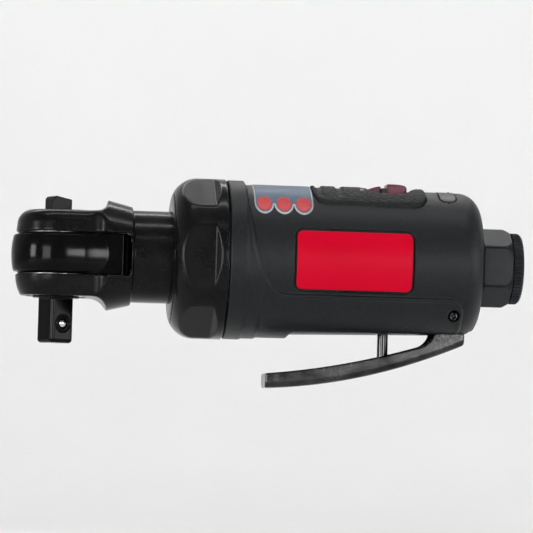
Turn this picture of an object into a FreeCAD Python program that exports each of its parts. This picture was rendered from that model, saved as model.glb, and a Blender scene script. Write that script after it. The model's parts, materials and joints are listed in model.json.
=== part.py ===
"""Compact air ratchet with a quarter inch square drive, as a parametric assembly (millimetres).

Frame: +X runs from the square drive to the air inlet, +Z is up, and the origin is the centre of the
square drive's root, where a socket's rim seats.  Outlines are written from the tool axis, which lies
axis_height above the origin, and each piece's Placement lifts it there.
"""

import FreeCAD, Part
import Sketcher
import math
import os
import re

SIZES = {
    # whole tool
    "axis_height": 10.4,
    "fit_gap": 0.04,
    # forked head
    "slot_half": 4.95,
    "slot_end": 17.0,
    "ear_wide_radius": 9.75,
    "ear_side_radius": 9.3,
    "ear_top_radius": 7.0,
    "ear_top": 10.25,
    "ear_shoulder": 7.65,
    "ear_round": 2.7,
    "ear_bottom": 9.95,
    "ear_bottom_radius": 7.9,
    "ear_taper_start": 7.2,
    "boss_root": 9.7,
    "boss_front": 12.2,
    "boss_radius": 12.9,
    "boss_round": 3.2,
    "boss_rear": 17.4,
    "boss_rear_radius": 11.6,
    "neck_radius": 10.85,
    "neck_bore": 7.0,
    "neck_bore_front": 14.6,
    "flange_front": 27.5,
    "flange_rear": 30.3,
    "flange_radius": 15.0,
    "upper_bore": 4.95,
    "lower_bore": 5.55,
    "ring_recess": 7.0,
    "ring_recess_top": 9.25,
    # yoke
    "yoke_half": 4.4,
    "yoke_radius": 10.85,
    "yoke_edge_radius": 10.35,
    "yoke_edge": 3.2,
    "yoke_tooth_tip": 7.6,
    "yoke_tooth_root": 8.25,
    "yoke_teeth": 36,
    "yoke_shank_half": 8.4,
    "yoke_shank_end": 15.7,
    "yoke_tail_half": 4.75,
    "yoke_tail_height": 3.3,
    "yoke_tail_end": 19.3,
    "yoke_slot_half": 3.1,
    "yoke_slot_start": 14.9,
    "washer_thick": 0.45,
    "washer_radius": 8.2,
    # anvil and square drive
    "anvil_core_radius": 6.2,
    "anvil_top": 9.4,
    "anvil_groove_top": 9.3,
    "anvil_groove_bottom": 9.8,
    "anvil_groove_radius": 5.0,
    "drive_square": 6.35,
    "drive_length": 10.5,
    "drive_corner": 0.42,
    "drive_turn": 33.5,
    "ball_radius": 1.1,
    "ball_height": 5.9,
    "ball_offset": 2.5,
    "ball_bore": 1.18,
    "ball_bore_end": 2.2,
    # pawl and reverse knob
    "pawl_inner": 2.85,
    "pawl_outer": 7.3,
    "pawl_half_angle": 28,
    "pawl_half": 2.9,
    "pawl_pocket_half": 3.2,
    "pawl_pocket_width": 8.4,
    "pawl_pocket_start": 2.2,
    "pawl_pin_place": 4.95,
    "pawl_pin_radius": 0.8,
    "pawl_pin_half": 4.1,
    "knob_shaft_radius": 1.7,
    "knob_disc_radius": 4.6,
    "knob_disc_bottom": 9.5,
    "knob_seat": 10.3,
    "knob_bar_length": 5.3,
    "knob_bar_width": 4.4,
    "knob_turn": 28,
    "knob_high": 13.9,
    "knob_low": 13.1,
    "plunger_radius": 0.7,
    "plunger_tip": 2.65,
    "plunger_foot": 1.0,
    "plunger_bore_end": 1.3,
    # crank and planetary gears
    "crank_throw": 0.9,
    "crank_pin_radius": 1.1,
    "crank_pin_start": 15.6,
    "bushing_radius": 1.8,
    "bushing_start": 15.8,
    "bushing_end": 19.2,
    "crank_front": 19.8,
    "journal_radius": 4.5,
    "bearing_front": 20.3,
    "bearing_rear": 28.3,
    "carrier_front": 30.9,
    "carrier_rear": 33.9,
    "carrier_radius": 9.3,
    "gear_module": 0.5,
    "gear_pressure_angle": 25,
    "sun_teeth": 12,
    "planet_teeth": 15,
    "ring_teeth": 42,
    "gear_backlash": 0.06,
    "planet_front": 34.1,
    "planet_rear": 38.2,
    "planet_bore": 1.15,
    "planet_pin_radius": 1.1,
    "planet_pin_rear": 38.6,
    "ring_front": 30.5,
    "ring_rear": 39.0,
    "case_bore": 14.5,
    "spacer_front": 39.1,
    "spacer_rear": 39.9,
    "spacer_bore": 4.2,
    # vane motor
    "plate_front": 40.0,
    "plate_web": 44.0,
    "motor_front": 45.0,
    "motor_rear": 66.0,
    "rear_web": 67.0,
    "rear_plate_end": 70.6,
    "ball_race_radius": 8.5,
    "front_journal": 3.6,
    "rear_journal": 3.1,
    "race_inner": 4.9,
    "race_outer": 7.1,
    "bearing_ball_place": 6.0,
    "bearing_ball_radius": 1.05,
    "bearing_balls": 8,
    "rotor_radius": 9.9,
    "rotor_rear_end": 70.9,
    "cylinder_bore": 11.1,
    "cylinder_offset": 1.1,
    "vane_count": 5,
    "vane_thick": 1.5,
    "vane_foot": 5.7,
    "vane_tip": 9.85,
    "dowel_radius": 0.8,
    "dowel_place": 13.2,
    "case_front": 30.6,
    "case_rear": 71.0,
    "case_radius": 15.4,
    # clamp nut
    "nut_front": 26.3,
    "nut_front_radius": 13.8,
    "nut_dome_end": 29.2,
    "nut_dome_radius": 18.1,
    "nut_dome_round": 6.5,
    "nut_shoulder": 31.6,
    "nut_radius": 18.95,
    "nut_rear": 39.1,
    "nut_bore": 10.9,
    "nut_seat": 27.2,
    "nut_inner": 15.6,
    "nut_apothem": 17.5,
    "flat_rear": 36.2,
    "flat_wall": 0.9,
    "flat_sides": 6,
    # handle
    "handle_front": 39.4,
    "collar_radius": 18.8,
    "collar_rear": 43.1,
    "body_start": 43.9,
    "body_radius": 18.0,
    "body_end_radius": 17.55,
    "rear_round_start": 95.1,
    "rear_round_mid": 98.6,
    "rear_round_mid_radius": 15.2,
    "rear_face_radius": 9.7,
    "handle_rear": 100.0,
    "front_cavity": 15.5,
    "cavity_end": 71.3,
    "belly_radius": 18.5,
    "belly_end": 46.6,
    "underside_start": 54.4,
    "underside_front": 17.15,
    "underside_rear": 15.95,
    "stem_place": 77.6,
    "inlet_socket_start": 88.0,
    "inlet_socket_radius": 7.8,
    "inlet_chamber_start": 84.0,
    "inlet_chamber_radius": 6.0,
    "feed_radius": 1.3,
    "feed_height": 10.0,
    "port_radius": 1.6,
    "port_height": 4.2,
    "exhaust_hole_radius": 1.3,
    "exhaust_hole_place": 11.1,
    "exhaust_front": 93.0,
    "exhaust_inner": 9.4,
    "exhaust_outer": 12.6,
    "muffler_rear": 97.3,
    "cover_front": 97.5,
    "cover_rear": 98.9,
    # throttle
    "stem_radius": 1.275,
    "stem_end": 24.65,
    "stem_bushing_radius": 2.0,
    "stem_bushing_bottom": 16.6,
    "stem_bushing_top": 12.5,
    "seal_top": 11.3,
    "seal_radius": 2.4,
    "lower_chamber_radius": 2.6,
    "seat_bottom": 9.0,
    "seat_top": 7.4,
    "seat_bore": 1.95,
    "throttle_bore": 3.9,
    "valve_radius": 3.0,
    "valve_top": 5.8,
    "throttle_bore_top": 0.2,
    "spring_wire": 0.24,
    "throttle_spring_radius": 2.3,
    # regulator
    "spool_radius": 3.55,
    "regulator_bore": 3.6,
    "regulator_floor": 1.6,
    "regulator_web_hole": 1.5,
    "spool_top": 15.3,
    "spool_groove_bottom": 10.4,
    "spool_groove_top": 11.8,
    "spool_groove_radius": 2.6,
    "knob_pocket_floor": 15.4,
    "knob_pocket_half": 5.3,
    "knob_pocket_reach": 2.6,
    "dial_radius": 4.9,
    "dial_bottom": 15.6,
    "dial_top": 16.7,
    "dial_slot_start": 76.1,
    "dial_slot_end": 77.3,
    "dial_block_top": 19.05,
    "dial_block_half": 2.6,
    "dial_wedge_half": 1.5,
    "dial_wedge_tip": 17.5,
    "dial_wedge_top": 18.5,
    "tongue_top": 18.0,
    "tongue_half": 2.9,
    # grip, plates
    "pad_start": 59.3,
    "pad_end": 86.0,
    "pad_radius": 18.25,
    "pad_floor": 16.8,
    "pad_half_width": 11.6,
    "label_start": 45.1,
    "label_end": 58.9,
    "label_radius": 18.1,
    "label_floor": 17.75,
    "label_half_width": 13.9,
    "plate_start": 54.95,
    "plate_end": 81.95,
    "plate_radius": 17.8,
    "plate_floor": 17.0,
    "plate_half_height": 6.8,
    "plate_rise": -0.25,
    "inlay_start": 89.3,
    "inlay_end": 93.1,
    "inlay_radius": 17.75,
    "inlay_floor": 16.9,
    "inlay_half_width": 9.7,
    # lever
    "lever_pin_place": 92.6,
    "lever_pin_height": 12.1,
    "lever_pin_radius": 1.0,
    "lever_pin_half": 12.2,
    "pin_recess_radius": 1.25,
    "lever_half_width": 5.1,
    "lever_wall": 1.0,
    "lever_ear_radius": 2.1,
    "ear_pocket_half": 5.45,
    "ear_pocket_start": 86.4,
    "ear_pocket_end": 98.4,
    "ear_pocket_top": 9.1,
    # inlet
    "inlet_front": 88.0,
    "hex_front": 100.2,
    "hex_rear": 107.3,
    "hex_across": 16.3,
    "hex_edge_radius": 9.37,
    "spigot_radius": 7.0,
    "inlet_rear": 110.0,
    "inlet_thread_radius": 5.7,
    "inlet_thread_start": 97.2,
    "screen_seat": 95.6,
    "screen_front": 95.7,
    "screen_rear": 96.6,
    "screen_radius": 5.0,
    "inlet_throat": 4.0,
    "collar_front": 107.4,
    "collar_end": 109.9,
    "knurl_radius": 8.45,
    "knurl_depth": 0.25,
    "knurl_teeth": 60,
}

doc = FreeCAD.newDocument("air_ratchet")
sheet = doc.addObject("Spreadsheet::Sheet", "Sizes")
for row, (alias, number) in enumerate(SIZES.items(), start=1):
    sheet.set(f"A{row}", alias)
    sheet.set(f"B{row}", str(number))
    sheet.setAlias(f"B{row}", alias)
doc.recompute()

FULL_TURN = 360
ALIAS = re.compile(r"\b(" + "|".join(sorted(SIZES, key=len, reverse=True)) + r")\b")
subparts = {}


def size(text):
    """The value of an expression in the sheet's aliases."""
    return float(sheet.evalExpression(str(text)))


def bind(piece, path, text):
    piece.setExpression(path, ALIAS.sub(r"Sizes.\1", str(text)))


def keep(piece, label):
    """Name a finished sub-part and lift it from the tool axis to its place in the frame."""
    piece.Label = label
    bound = {path.lstrip("."): text for path, text in piece.ExpressionEngine}
    height = bound.get("Placement.Base.z", str(piece.Placement.Base.z))
    piece.setExpression("Placement.Base.z", f"Sizes.axis_height + ({height})")
    subparts[label] = piece
    return piece


# ---- sketches and features ----


def origin_plane(body, role):
    return next(feature for feature in body.Origin.OriginFeatures if feature.Role == role)


def arc_between(start, end, bulge):
    """Arc of radius |bulge| that a positive bulge puts to the left of the way from start to end."""
    chord = end - start
    left = FreeCAD.Vector(-chord.y, chord.x, 0).normalize()
    radius = abs(bulge)
    rise = radius - math.sqrt(radius**2 - (chord.Length / 2) ** 2)
    top = (start + end) * 0.5 + left * math.copysign(rise, bulge)
    first, last = (end, start) if bulge > 0 else (start, end)
    edge = Part.Arc(first, top, last).toShape()
    return Part.ArcOfCircle(edge.Curve, *edge.ParameterRange)


def outline(body, role, points):
    """Closed sketch through (across, up, bulge) points, every coordinate bound to the sheet."""
    sketch = body.newObject("Sketcher::SketchObject", body.Name + "_outline")
    sketch.AttachmentSupport = [(origin_plane(body, role), "")]
    sketch.MapMode = "FlatFace"
    points = [tuple(point) + (0,) * (3 - len(point)) for point in points]
    corners = [FreeCAD.Vector(size(across), size(up), 0) for across, up, _ in points]
    joins = []
    for index, (_, _, bulge) in enumerate(points):
        start, end = corners[index], corners[(index + 1) % len(points)]
        if not bulge:
            sketch.addGeometry(Part.LineSegment(start, end))
            joins.append((1, 2))
            continue
        sketch.addGeometry(arc_between(start, end, size(bulge)))
        joins.append((2, 1) if size(bulge) > 0 else (1, 2))
    for index, (across, up, bulge) in enumerate(points):
        following = (index + 1) % len(points)
        sketch.addConstraint(
            Sketcher.Constraint("Coincident", index, joins[index][1], following, joins[following][0])
        )
        for kind, text in (("DistanceX", across), ("DistanceY", up)):
            number = sketch.addConstraint(
                Sketcher.Constraint(kind, index, joins[index][0], size(text))
            )
            bind(sketch, f"Constraints[{number}]", text)
        if bulge:
            number = sketch.addConstraint(Sketcher.Constraint("Radius", index, abs(size(bulge))))
            bind(sketch, f"Constraints[{number}]", f"abs({bulge})")
    return sketch


def turned(name, points, axis="X"):
    """Body turned about X from (along, radius) points, or about Z from (radius, up) points."""
    body = doc.addObject("PartDesign::Body", name)
    sketch = outline(body, "XZ_Plane", points)
    spin = body.newObject("PartDesign::Revolution", name + "_turning")
    spin.Profile = sketch
    spin.ReferenceAxis = (sketch, ["H_Axis" if axis == "X" else "V_Axis"])
    spin.Angle = FULL_TURN
    return body


def ring(name, start, end, inner, outer, axis="X"):
    """Plain ring, or a disc when inner is 0."""
    corners = [(start, inner), (end, inner), (end, outer), (start, outer)]
    if axis == "Z":
        corners = [(radius, height) for height, radius in corners]
    return turned(name, corners, axis)


def slab(name, points, half_width):
    """Side outline in X and Z, padded to both sides of the middle plane."""
    body = doc.addObject("PartDesign::Body", name)
    sketch = outline(body, "XZ_Plane", points)
    pad = body.newObject("PartDesign::Pad", name + "_pad")
    pad.Profile = sketch
    pad.SideType = "Symmetric"
    bind(pad, "Length", f"2 * ({half_width})")
    return body


def plan(name, points, bottom, top):
    """Plan outline in X and Y, padded from bottom up to top."""
    body = doc.addObject("PartDesign::Body", name)
    sketch = outline(body, "XY_Plane", points)
    bind(sketch, "AttachmentOffset.Base.z", bottom)
    pad = body.newObject("PartDesign::Pad", name + "_pad")
    pad.Profile = sketch
    bind(pad, "Length", f"({top}) - ({bottom})")
    return body


# ---- primitives and booleans ----

TURNS = {
    "X": FreeCAD.Rotation(FreeCAD.Vector(0, 0, 1), FreeCAD.Vector(1, 0, 0)),
    "Y": FreeCAD.Rotation(FreeCAD.Vector(0, 0, 1), FreeCAD.Vector(0, 1, 0)),
    "Z": FreeCAD.Rotation(),
}
OTHERS = {"X": "yz", "Y": "xz", "Z": "xy"}


def rod(name, axis, start, end, radius, first=0, second=0):
    """Cylinder along an axis from start to end, at (first, second) on the other two."""
    shape = doc.addObject("Part::Cylinder", name)
    shape.Placement = FreeCAD.Placement(FreeCAD.Vector(), TURNS[axis])
    bind(shape, "Radius", radius)
    bind(shape, "Height", f"({end}) - ({start})")
    bind(shape, f"Placement.Base.{axis.lower()}", start)
    for letter, text in zip(OTHERS[axis], (first, second)):
        bind(shape, f"Placement.Base.{letter}", text)
    return shape


def block(name, low, high):
    """Box between two corners given as expressions."""
    shape = doc.addObject("Part::Box", name)
    for letter, side, start, end in zip("xyz", ("Length", "Width", "Height"), low, high):
        bind(shape, side, f"({end}) - ({start})")
        bind(shape, f"Placement.Base.{letter}", start)
    return shape


def ball(name, radius, across, along, up):
    shape = doc.addObject("Part::Sphere", name)
    bind(shape, "Radius", radius)
    for letter, text in zip("xyz", (across, along, up)):
        bind(shape, f"Placement.Base.{letter}", text)
    return shape


def join(name, *shapes):
    whole = doc.addObject("Part::MultiFuse", name)
    whole.Shapes = list(shapes)
    return whole


def cut(name, base, *tools):
    whole = doc.addObject("Part::Cut", name)
    whole.Base = base
    whole.Tool = tools[0] if len(tools) == 1 else join(name + "_tools", *tools)
    return whole


def meet(name, *shapes):
    whole = doc.addObject("Part::MultiCommon", name)
    whole.Shapes = list(shapes)
    return whole


def group(name, *shapes):
    whole = doc.addObject("Part::Compound", name)
    whole.Links = list(shapes)
    return whole


def turn_about_x(shape, degrees):
    """Turn a primitive about the tool axis, keeping the place that its expressions gave it."""
    doc.recompute()
    spin = FreeCAD.Rotation(FreeCAD.Vector(1, 0, 0), degrees)
    shape.setExpression("Placement.Base.y", None)
    shape.setExpression("Placement.Base.z", None)
    shape.Placement = FreeCAD.Placement(FreeCAD.Vector(), spin).multiply(shape.Placement)
    return shape


def turn_about_z(shape, degrees):
    """Turn a finished feature about the drive axis."""
    shape.Placement = FreeCAD.Placement(
        FreeCAD.Vector(), FreeCAD.Rotation(FreeCAD.Vector(0, 0, 1), degrees)
    )
    return shape


def formed(name, shape):
    """Feature whose shape comes from Part's own functions."""
    feature = doc.addObject("Part::Feature", name)
    feature.Shape = shape
    return feature


def polygon_prism(corners, start, end):
    """Prism along X over a closed outline of (y, z) corners."""
    points = [FreeCAD.Vector(start, across, up) for across, up in corners]
    face = Part.Face(Part.makePolygon(points + points[:1]))
    return face.extrude(FreeCAD.Vector(end - start, 0, 0))


def polar(radius, degrees):
    angle = math.radians(degrees)
    return radius * math.cos(angle), radius * math.sin(angle)


def coil(name, wire, radius, length, turns, place, direction):
    """Open helical spring with its foot at place."""
    pitch = (length - 2 * wire) / turns
    path = Part.makeHelix(pitch, length - 2 * wire, radius)
    start = path.Edges[0].firstVertex().Point
    tangent = path.Edges[0].tangentAt(path.Edges[0].FirstParameter)
    section = Part.Wire(Part.makeCircle(wire, start, tangent))
    spring = Part.Wire(path.Edges).makePipeShell([section], True, True)
    lift = FreeCAD.Rotation(FreeCAD.Vector(0, 0, 1), FreeCAD.Vector(*direction))
    spring.translate(FreeCAD.Vector(0, 0, wire))
    spring.Placement = FreeCAD.Placement(FreeCAD.Vector(*place), lift).multiply(spring.Placement)
    return formed(name, spring)


# ---- gears ----

FLANK_STEPS = 4


def gear_corners(teeth, addendum, dedendum, thinning):
    """Outline of an involute gear with a tooth centred on the first axis."""
    pitch = size("gear_module") * teeth / 2
    pressure = math.radians(size("gear_pressure_angle"))
    base = pitch * math.cos(pressure)
    half_tooth = math.pi / (2 * teeth) - thinning / (2 * pitch)

    def half_angle(radius):
        local = math.acos(min(1, base / radius))
        return half_tooth + (math.tan(pressure) - pressure) - (math.tan(local) - local)

    root, tip = pitch - dedendum, pitch + addendum
    low = max(root, base)
    radii = [low + (tip - low) * step / FLANK_STEPS for step in range(FLANK_STEPS + 1)]
    corners = []
    for tooth in range(teeth):
        middle = 2 * math.pi * tooth / teeth
        rising = [(radius, middle - half_angle(radius)) for radius in radii]
        falling = [(radius, middle + half_angle(radius)) for radius in reversed(radii)]
        foot = [(root, middle - half_angle(low))] if root < low else []
        heel = [(root, middle + half_angle(low))] if root < low else []
        for radius, angle in foot + rising + falling + heel:
            corners.append((radius * math.cos(angle), radius * math.sin(angle)))
    return corners


def gear_solid(teeth, start, end):
    module = size("gear_module")
    corners = gear_corners(teeth, 0.95 * module, 1.25 * module, size("gear_backlash"))
    return polygon_prism(corners, start, end)


# ---- head ----


def ear_outline():
    """Half outline of the head about the drive axis, from the lower ear up to the upper ear."""
    return [
        (0, "-ear_bottom"),
        ("ear_bottom_radius", "-ear_bottom"),
        ("ear_side_radius + 0.1", "-ear_taper_start"),
        ("ear_wide_radius + 0.1", "-slot_half"),
        ("ear_wide_radius", "slot_half"),
        ("ear_side_radius", "ear_shoulder", "-ear_round"),
        ("ear_top_radius", "ear_top"),
        (0, "ear_top"),
    ]


def ear_bridge(name):
    """The straight stretch between the round of the ears and the boss, as wide as the ears."""
    half = [(size(point[0]), size(point[1])) for point in ear_outline()]
    corners = half + [(-across, up) for across, up in reversed(half)]
    return formed(name, polygon_prism(corners[1:-1], 0, size("boss_front")))


def ratchet_housing():
    round_part = turned("head_round", ear_outline(), "Z")
    bridge = ear_bridge("head_bridge")
    barrel = turned(
        "head_barrel",
        [
            ("boss_root", 0),
            ("boss_root", "ear_bottom - 0.3", "-boss_round"),
            ("boss_front", "boss_radius"),
            ("boss_rear", "boss_rear_radius"),
            ("boss_rear + 0.5", "neck_radius"),
            ("flange_front", "neck_radius"),
            ("flange_front", "flange_radius"),
            ("flange_rear", "flange_radius"),
            ("flange_rear", 0),
        ],
    )
    slot = block(
        "head_slot",
        ("-ear_wide_radius - 2", "-boss_radius - 1", "-slot_half"),
        ("slot_end", "boss_radius + 1", "slot_half"),
    )
    bore = rod("head_bore", "X", "neck_bore_front", "flange_rear + 1", "neck_bore")
    upper = rod("upper_bore_tool", "Z", 0, "ear_top + 1", "upper_bore")
    lower = rod("lower_bore_tool", "Z", "-ear_bottom - 1", 0, "lower_bore")
    recess = rod("recess_tool", "Z", "-ear_bottom - 1", "-ring_recess_top", "ring_recess")
    solid = join("head_solid", round_part, bridge, barrel)
    keep(cut("ratchet_housing", solid, slot, bore, upper, lower, recess), "ratchet_housing")


def ratchet_yoke():
    crown = turned(
        "yoke_crown",
        [
            (0, "-yoke_half"),
            ("yoke_edge_radius - 0.5", "-yoke_half"),
            ("yoke_edge_radius", "-yoke_half + 0.5"),
            ("yoke_radius", "-yoke_edge + 1"),
            ("yoke_radius", "yoke_edge - 1"),
            ("yoke_edge_radius", "yoke_half - 0.5"),
            ("yoke_edge_radius - 0.5", "yoke_half"),
            (0, "yoke_half"),
        ],
        "Z",
    )
    shank = plan(
        "yoke_shank",
        [
            (0, "-yoke_edge_radius"),
            ("yoke_shank_end / 2", "-yoke_edge_radius + 0.4"),
            ("yoke_shank_end", "-yoke_shank_half"),
            ("yoke_shank_end", "yoke_shank_half"),
            ("yoke_shank_end / 2", "yoke_edge_radius - 0.4"),
            (0, "yoke_edge_radius"),
        ],
        "-yoke_half",
        "yoke_half",
    )
    tail = block(
        "yoke_tail",
        ("yoke_slot_start - 2", "-yoke_tail_half", "-yoke_tail_height"),
        ("yoke_tail_end", "yoke_tail_half", "yoke_tail_height"),
    )
    slot = block(
        "yoke_slot",
        ("yoke_slot_start", "-yoke_slot_half", "-yoke_half - 1"),
        ("yoke_tail_end + 1", "yoke_slot_half", "yoke_half + 1"),
    )
    teeth = int(size("yoke_teeth"))
    corners = []
    for index in range(2 * teeth):
        radius = size("yoke_tooth_tip") if index % 2 else size("yoke_tooth_root")
        corners.append(polar(radius, index * FULL_TURN / (2 * teeth)))
    points = [FreeCAD.Vector(x, y, -size("yoke_half") - 1) for x, y in corners]
    face = Part.Face(Part.makePolygon(points + points[:1]))
    opening = formed("yoke_teeth_tool", face.extrude(FreeCAD.Vector(0, 0, 2 * size("yoke_half") + 2)))
    solid = join("yoke_solid", crown, shank, tail)
    keep(cut("ratchet_yoke", solid, slot, opening), "ratchet_yoke")


def thrust_washers():
    upper = ring(
        "upper_washer",
        "slot_half - washer_thick - 0.02",
        "slot_half - 0.02",
        "upper_bore",
        "washer_radius",
        "Z",
    )
    lower = ring(
        "lower_washer",
        "-slot_half + 0.02",
        "-slot_half + washer_thick + 0.02",
        "lower_bore",
        "washer_radius",
        "Z",
    )
    keep(group("thrust_washers", upper, lower), "thrust_washers")


def anvil():
    core = turned(
        "anvil_core",
        [
            (0, "-axis_height"),
            ("lower_bore - 0.05", "-axis_height"),
            ("lower_bore - 0.05", "-anvil_groove_bottom"),
            ("anvil_groove_radius", "-anvil_groove_bottom"),
            ("anvil_groove_radius", "-anvil_groove_top"),
            ("lower_bore - 0.05", "-anvil_groove_top"),
            ("lower_bore - 0.05", "-yoke_half"),
            ("anvil_core_radius", "-yoke_half"),
            ("anvil_core_radius", "yoke_half"),
            ("upper_bore - 0.05", "yoke_half"),
            ("upper_bore - 0.05", "anvil_top"),
            (0, "anvil_top"),
        ],
        "Z",
    )
    half = "drive_square / 2"
    inner = "drive_square / 2 - drive_corner"
    square = plan(
        "drive_square_body",
        [
            (f"-({half})", f"-({inner})"),
            (f"-({inner})", f"-({half})"),
            (inner, f"-({half})"),
            (half, f"-({inner})"),
            (half, inner),
            (inner, half),
            (f"-({inner})", half),
            (f"-({half})", inner),
        ],
        "-axis_height - drive_length",
        "-axis_height + 1",
    )
    tip = turned(
        "drive_tip",
        [
            (0, "-axis_height - drive_length"),
            ("drive_square / 2 - 0.2", "-axis_height - drive_length"),
            ("drive_square / 2 + 1.6", "-axis_height - drive_length + 1.5"),
            ("drive_square / 2 + 1.6", "-axis_height + 2"),
            (0, "-axis_height + 2"),
        ],
        "Z",
    )
    drive = meet("drive_end", square, tip)
    ball_hole = rod(
        "ball_hole", "Y", "-drive_square", "ball_bore_end", "ball_bore", 0, "-axis_height - ball_height"
    )
    drive_end = turn_about_z(cut("drive_with_hole", drive, ball_hole), size("drive_turn"))
    pocket = block(
        "pawl_pocket",
        ("-anvil_core_radius - 1", "-pawl_pocket_width / 2", "-pawl_pocket_half"),
        ("-pawl_pocket_start", "pawl_pocket_width / 2", "pawl_pocket_half"),
    )
    shaft_hole = rod("knob_hole", "Z", "-pawl_pocket_half", "anvil_top + 1", "knob_shaft_radius + 0.05")
    pin_hole = rod(
        "pawl_pin_hole", "Z", "-pawl_pin_half", "pawl_pin_half", "pawl_pin_radius", "-pawl_pin_place"
    )
    sweep = turned(
        "plunger_sweep",
        [
            (0, "-plunger_radius - 0.2"),
            ("plunger_tip + 0.1", "-plunger_radius - 0.2"),
            ("plunger_tip + 0.1", "plunger_radius + 0.2"),
            (0, "plunger_radius + 0.2"),
        ],
        "Z",
    )
    solid = join("anvil_solid", core, drive_end)
    keep(cut("anvil", solid, pocket, shaft_hole, pin_hole, sweep), "anvil")


def pawl():
    blank = ring("pawl_blank", "-pawl_half", "pawl_half", "pawl_inner", "pawl_outer", "Z")
    reach = size("pawl_outer") + 1
    across, along = polar(reach, FULL_TURN / 2 - size("pawl_half_angle"))
    corners = [(0, 0), (across, along), (-reach - 1, along), (-reach - 1, -along), (across, -along)]
    points = [FreeCAD.Vector(x, y, -size("pawl_half") - 1) for x, y in corners]
    wedge = Part.Face(Part.makePolygon(points + points[:1]))
    sector = formed("pawl_sector", wedge.extrude(FreeCAD.Vector(0, 0, 2 * size("pawl_half") + 2)))
    hole = rod("pawl_hole", "Z", "-pawl_half - 1", "pawl_half + 1", "pawl_pin_radius + fit_gap",
               "-pawl_pin_place")
    notches = [
        block(
            f"pawl_notch_{side}",
            ("-pawl_outer - 1", f"{side} * 1.1 - 0.5", "-pawl_half - 1"),
            ("-pawl_outer + 0.55", f"{side} * 1.1 + 0.5", "pawl_half + 1"),
        )
        for side in (-1, 1)
    ]
    keep(cut("pawl", meet("pawl_piece", blank, sector), hole, *notches), "pawl")


def pawl_pin():
    keep(
        rod("pawl_pin", "Z", "-pawl_pin_half", "pawl_pin_half", "pawl_pin_radius", "-pawl_pin_place"),
        "pawl_pin",
    )


def reverse_shaft():
    """Spindle of the reverse knob, with a flat head that closes the bore of the upper ear."""
    stalk = turned(
        "knob_stalk",
        [
            (0, "-pawl_pocket_half + 0.2"),
            ("knob_shaft_radius", "-pawl_pocket_half + 0.2"),
            ("knob_shaft_radius", "knob_disc_bottom"),
            ("knob_disc_radius", "knob_disc_bottom"),
            ("knob_disc_radius", "knob_seat - 0.3"),
            ("knob_disc_radius - 0.3", "knob_seat"),
            (0, "knob_seat"),
        ],
        "Z",
    )
    bore = rod("plunger_bore", "X", "-knob_shaft_radius - 1", "plunger_bore_end", "plunger_radius + fit_gap")
    keep(cut("reverse_shaft", stalk, bore), "reverse_shaft")


def reverse_knob():
    """Wedge-topped bar that is pressed onto the head of the reverse shaft, just above the ear."""
    bar = slab(
        "knob_bar",
        [
            ("-knob_bar_length / 2", "knob_seat"),
            ("knob_bar_length / 2", "knob_seat"),
            ("knob_bar_length / 2", "knob_low - 0.3"),
            ("knob_bar_length / 2 - 0.3", "knob_low"),
            ("-knob_bar_length / 2 + 0.4", "knob_high"),
            ("-knob_bar_length / 2", "knob_high - 0.4"),
        ],
        "knob_bar_width / 2",
    )
    turn_about_z(bar, size("knob_turn"))
    keep(bar, "reverse_knob")


def reverse_plunger():
    nose = turned(
        "plunger_nose",
        [
            ("-plunger_tip", 0),
            ("-plunger_tip", "plunger_radius - 0.4"),
            ("-plunger_tip + 0.4", "plunger_radius"),
            ("-plunger_foot", "plunger_radius"),
            ("-plunger_foot", 0),
        ],
    )
    keep(nose, "reverse_plunger")


def reverse_spring():
    length = size("plunger_foot + plunger_bore_end") - 0.1
    place = (size("plunger_bore_end") - 0.05, 0, 0)
    keep(coil("reverse_spring", 0.11, 0.5, length, 4, place, (-1, 0, 0)), "reverse_spring")


def head_retaining_ring():
    clip = ring(
        "clip_ring",
        "-anvil_groove_bottom + 0.03",
        "-anvil_groove_top - 0.03",
        "anvil_groove_radius + 0.02",
        "ring_recess - 0.35",
        "Z",
    )
    gap = block(
        "clip_gap",
        ("-ring_recess - 1", -0.7, "-ear_bottom - 1"),
        (0, 0.7, "-ring_recess_top"),
    )
    keep(cut("head_retaining_ring", clip, gap), "head_retaining_ring")


def drive_side(distance, up):
    """Point at a distance along the ball's line in the turned square drive."""
    across, along = polar(distance, size("drive_turn") - 90)
    return across, along, up


def detent_ball():
    across, along = "ball_offset * sin(drive_turn)", "-ball_offset * cos(drive_turn)"
    steel = ball("detent_ball", "ball_radius", across, along, "-axis_height - ball_height")
    keep(steel, "detent_ball")


def detent_spring():
    foot = drive_side(-size("ball_bore_end") + 0.05, size("-axis_height - ball_height"))
    way = drive_side(1, 0)
    length = size("ball_offset + ball_bore_end") - size("ball_radius") - 0.1
    keep(coil("detent_spring", 0.14, 0.8, length, 4, foot, way), "detent_spring")


# ---- crank and gears ----


def crankshaft():
    shaft = turned(
        "crank_body",
        [
            ("crank_front", 0),
            ("crank_front", "journal_radius - 0.3"),
            ("crank_front + 0.3", "journal_radius"),
            ("carrier_front", "journal_radius"),
            ("carrier_front", "carrier_radius"),
            ("carrier_rear", "carrier_radius"),
            ("carrier_rear", 0),
        ],
    )
    pin = rod("crank_pin", "X", "crank_pin_start", "crank_front + 1", "crank_pin_radius", 0, "-crank_throw")
    holes = [
        rod(f"carrier_hole_{index}", "X", "carrier_front - 1", "carrier_rear + 1", "planet_pin_radius",
            f"{planet_place()} * cos({120 * index})", f"{planet_place()} * sin({120 * index})")
        for index in range(3)
    ]
    keep(cut("crankshaft", join("crank_solid", shaft, pin), *holes), "crankshaft")


def planet_place():
    """Centre distance of the sun and a planet."""
    return "gear_module * (sun_teeth + planet_teeth) / 2"


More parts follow.
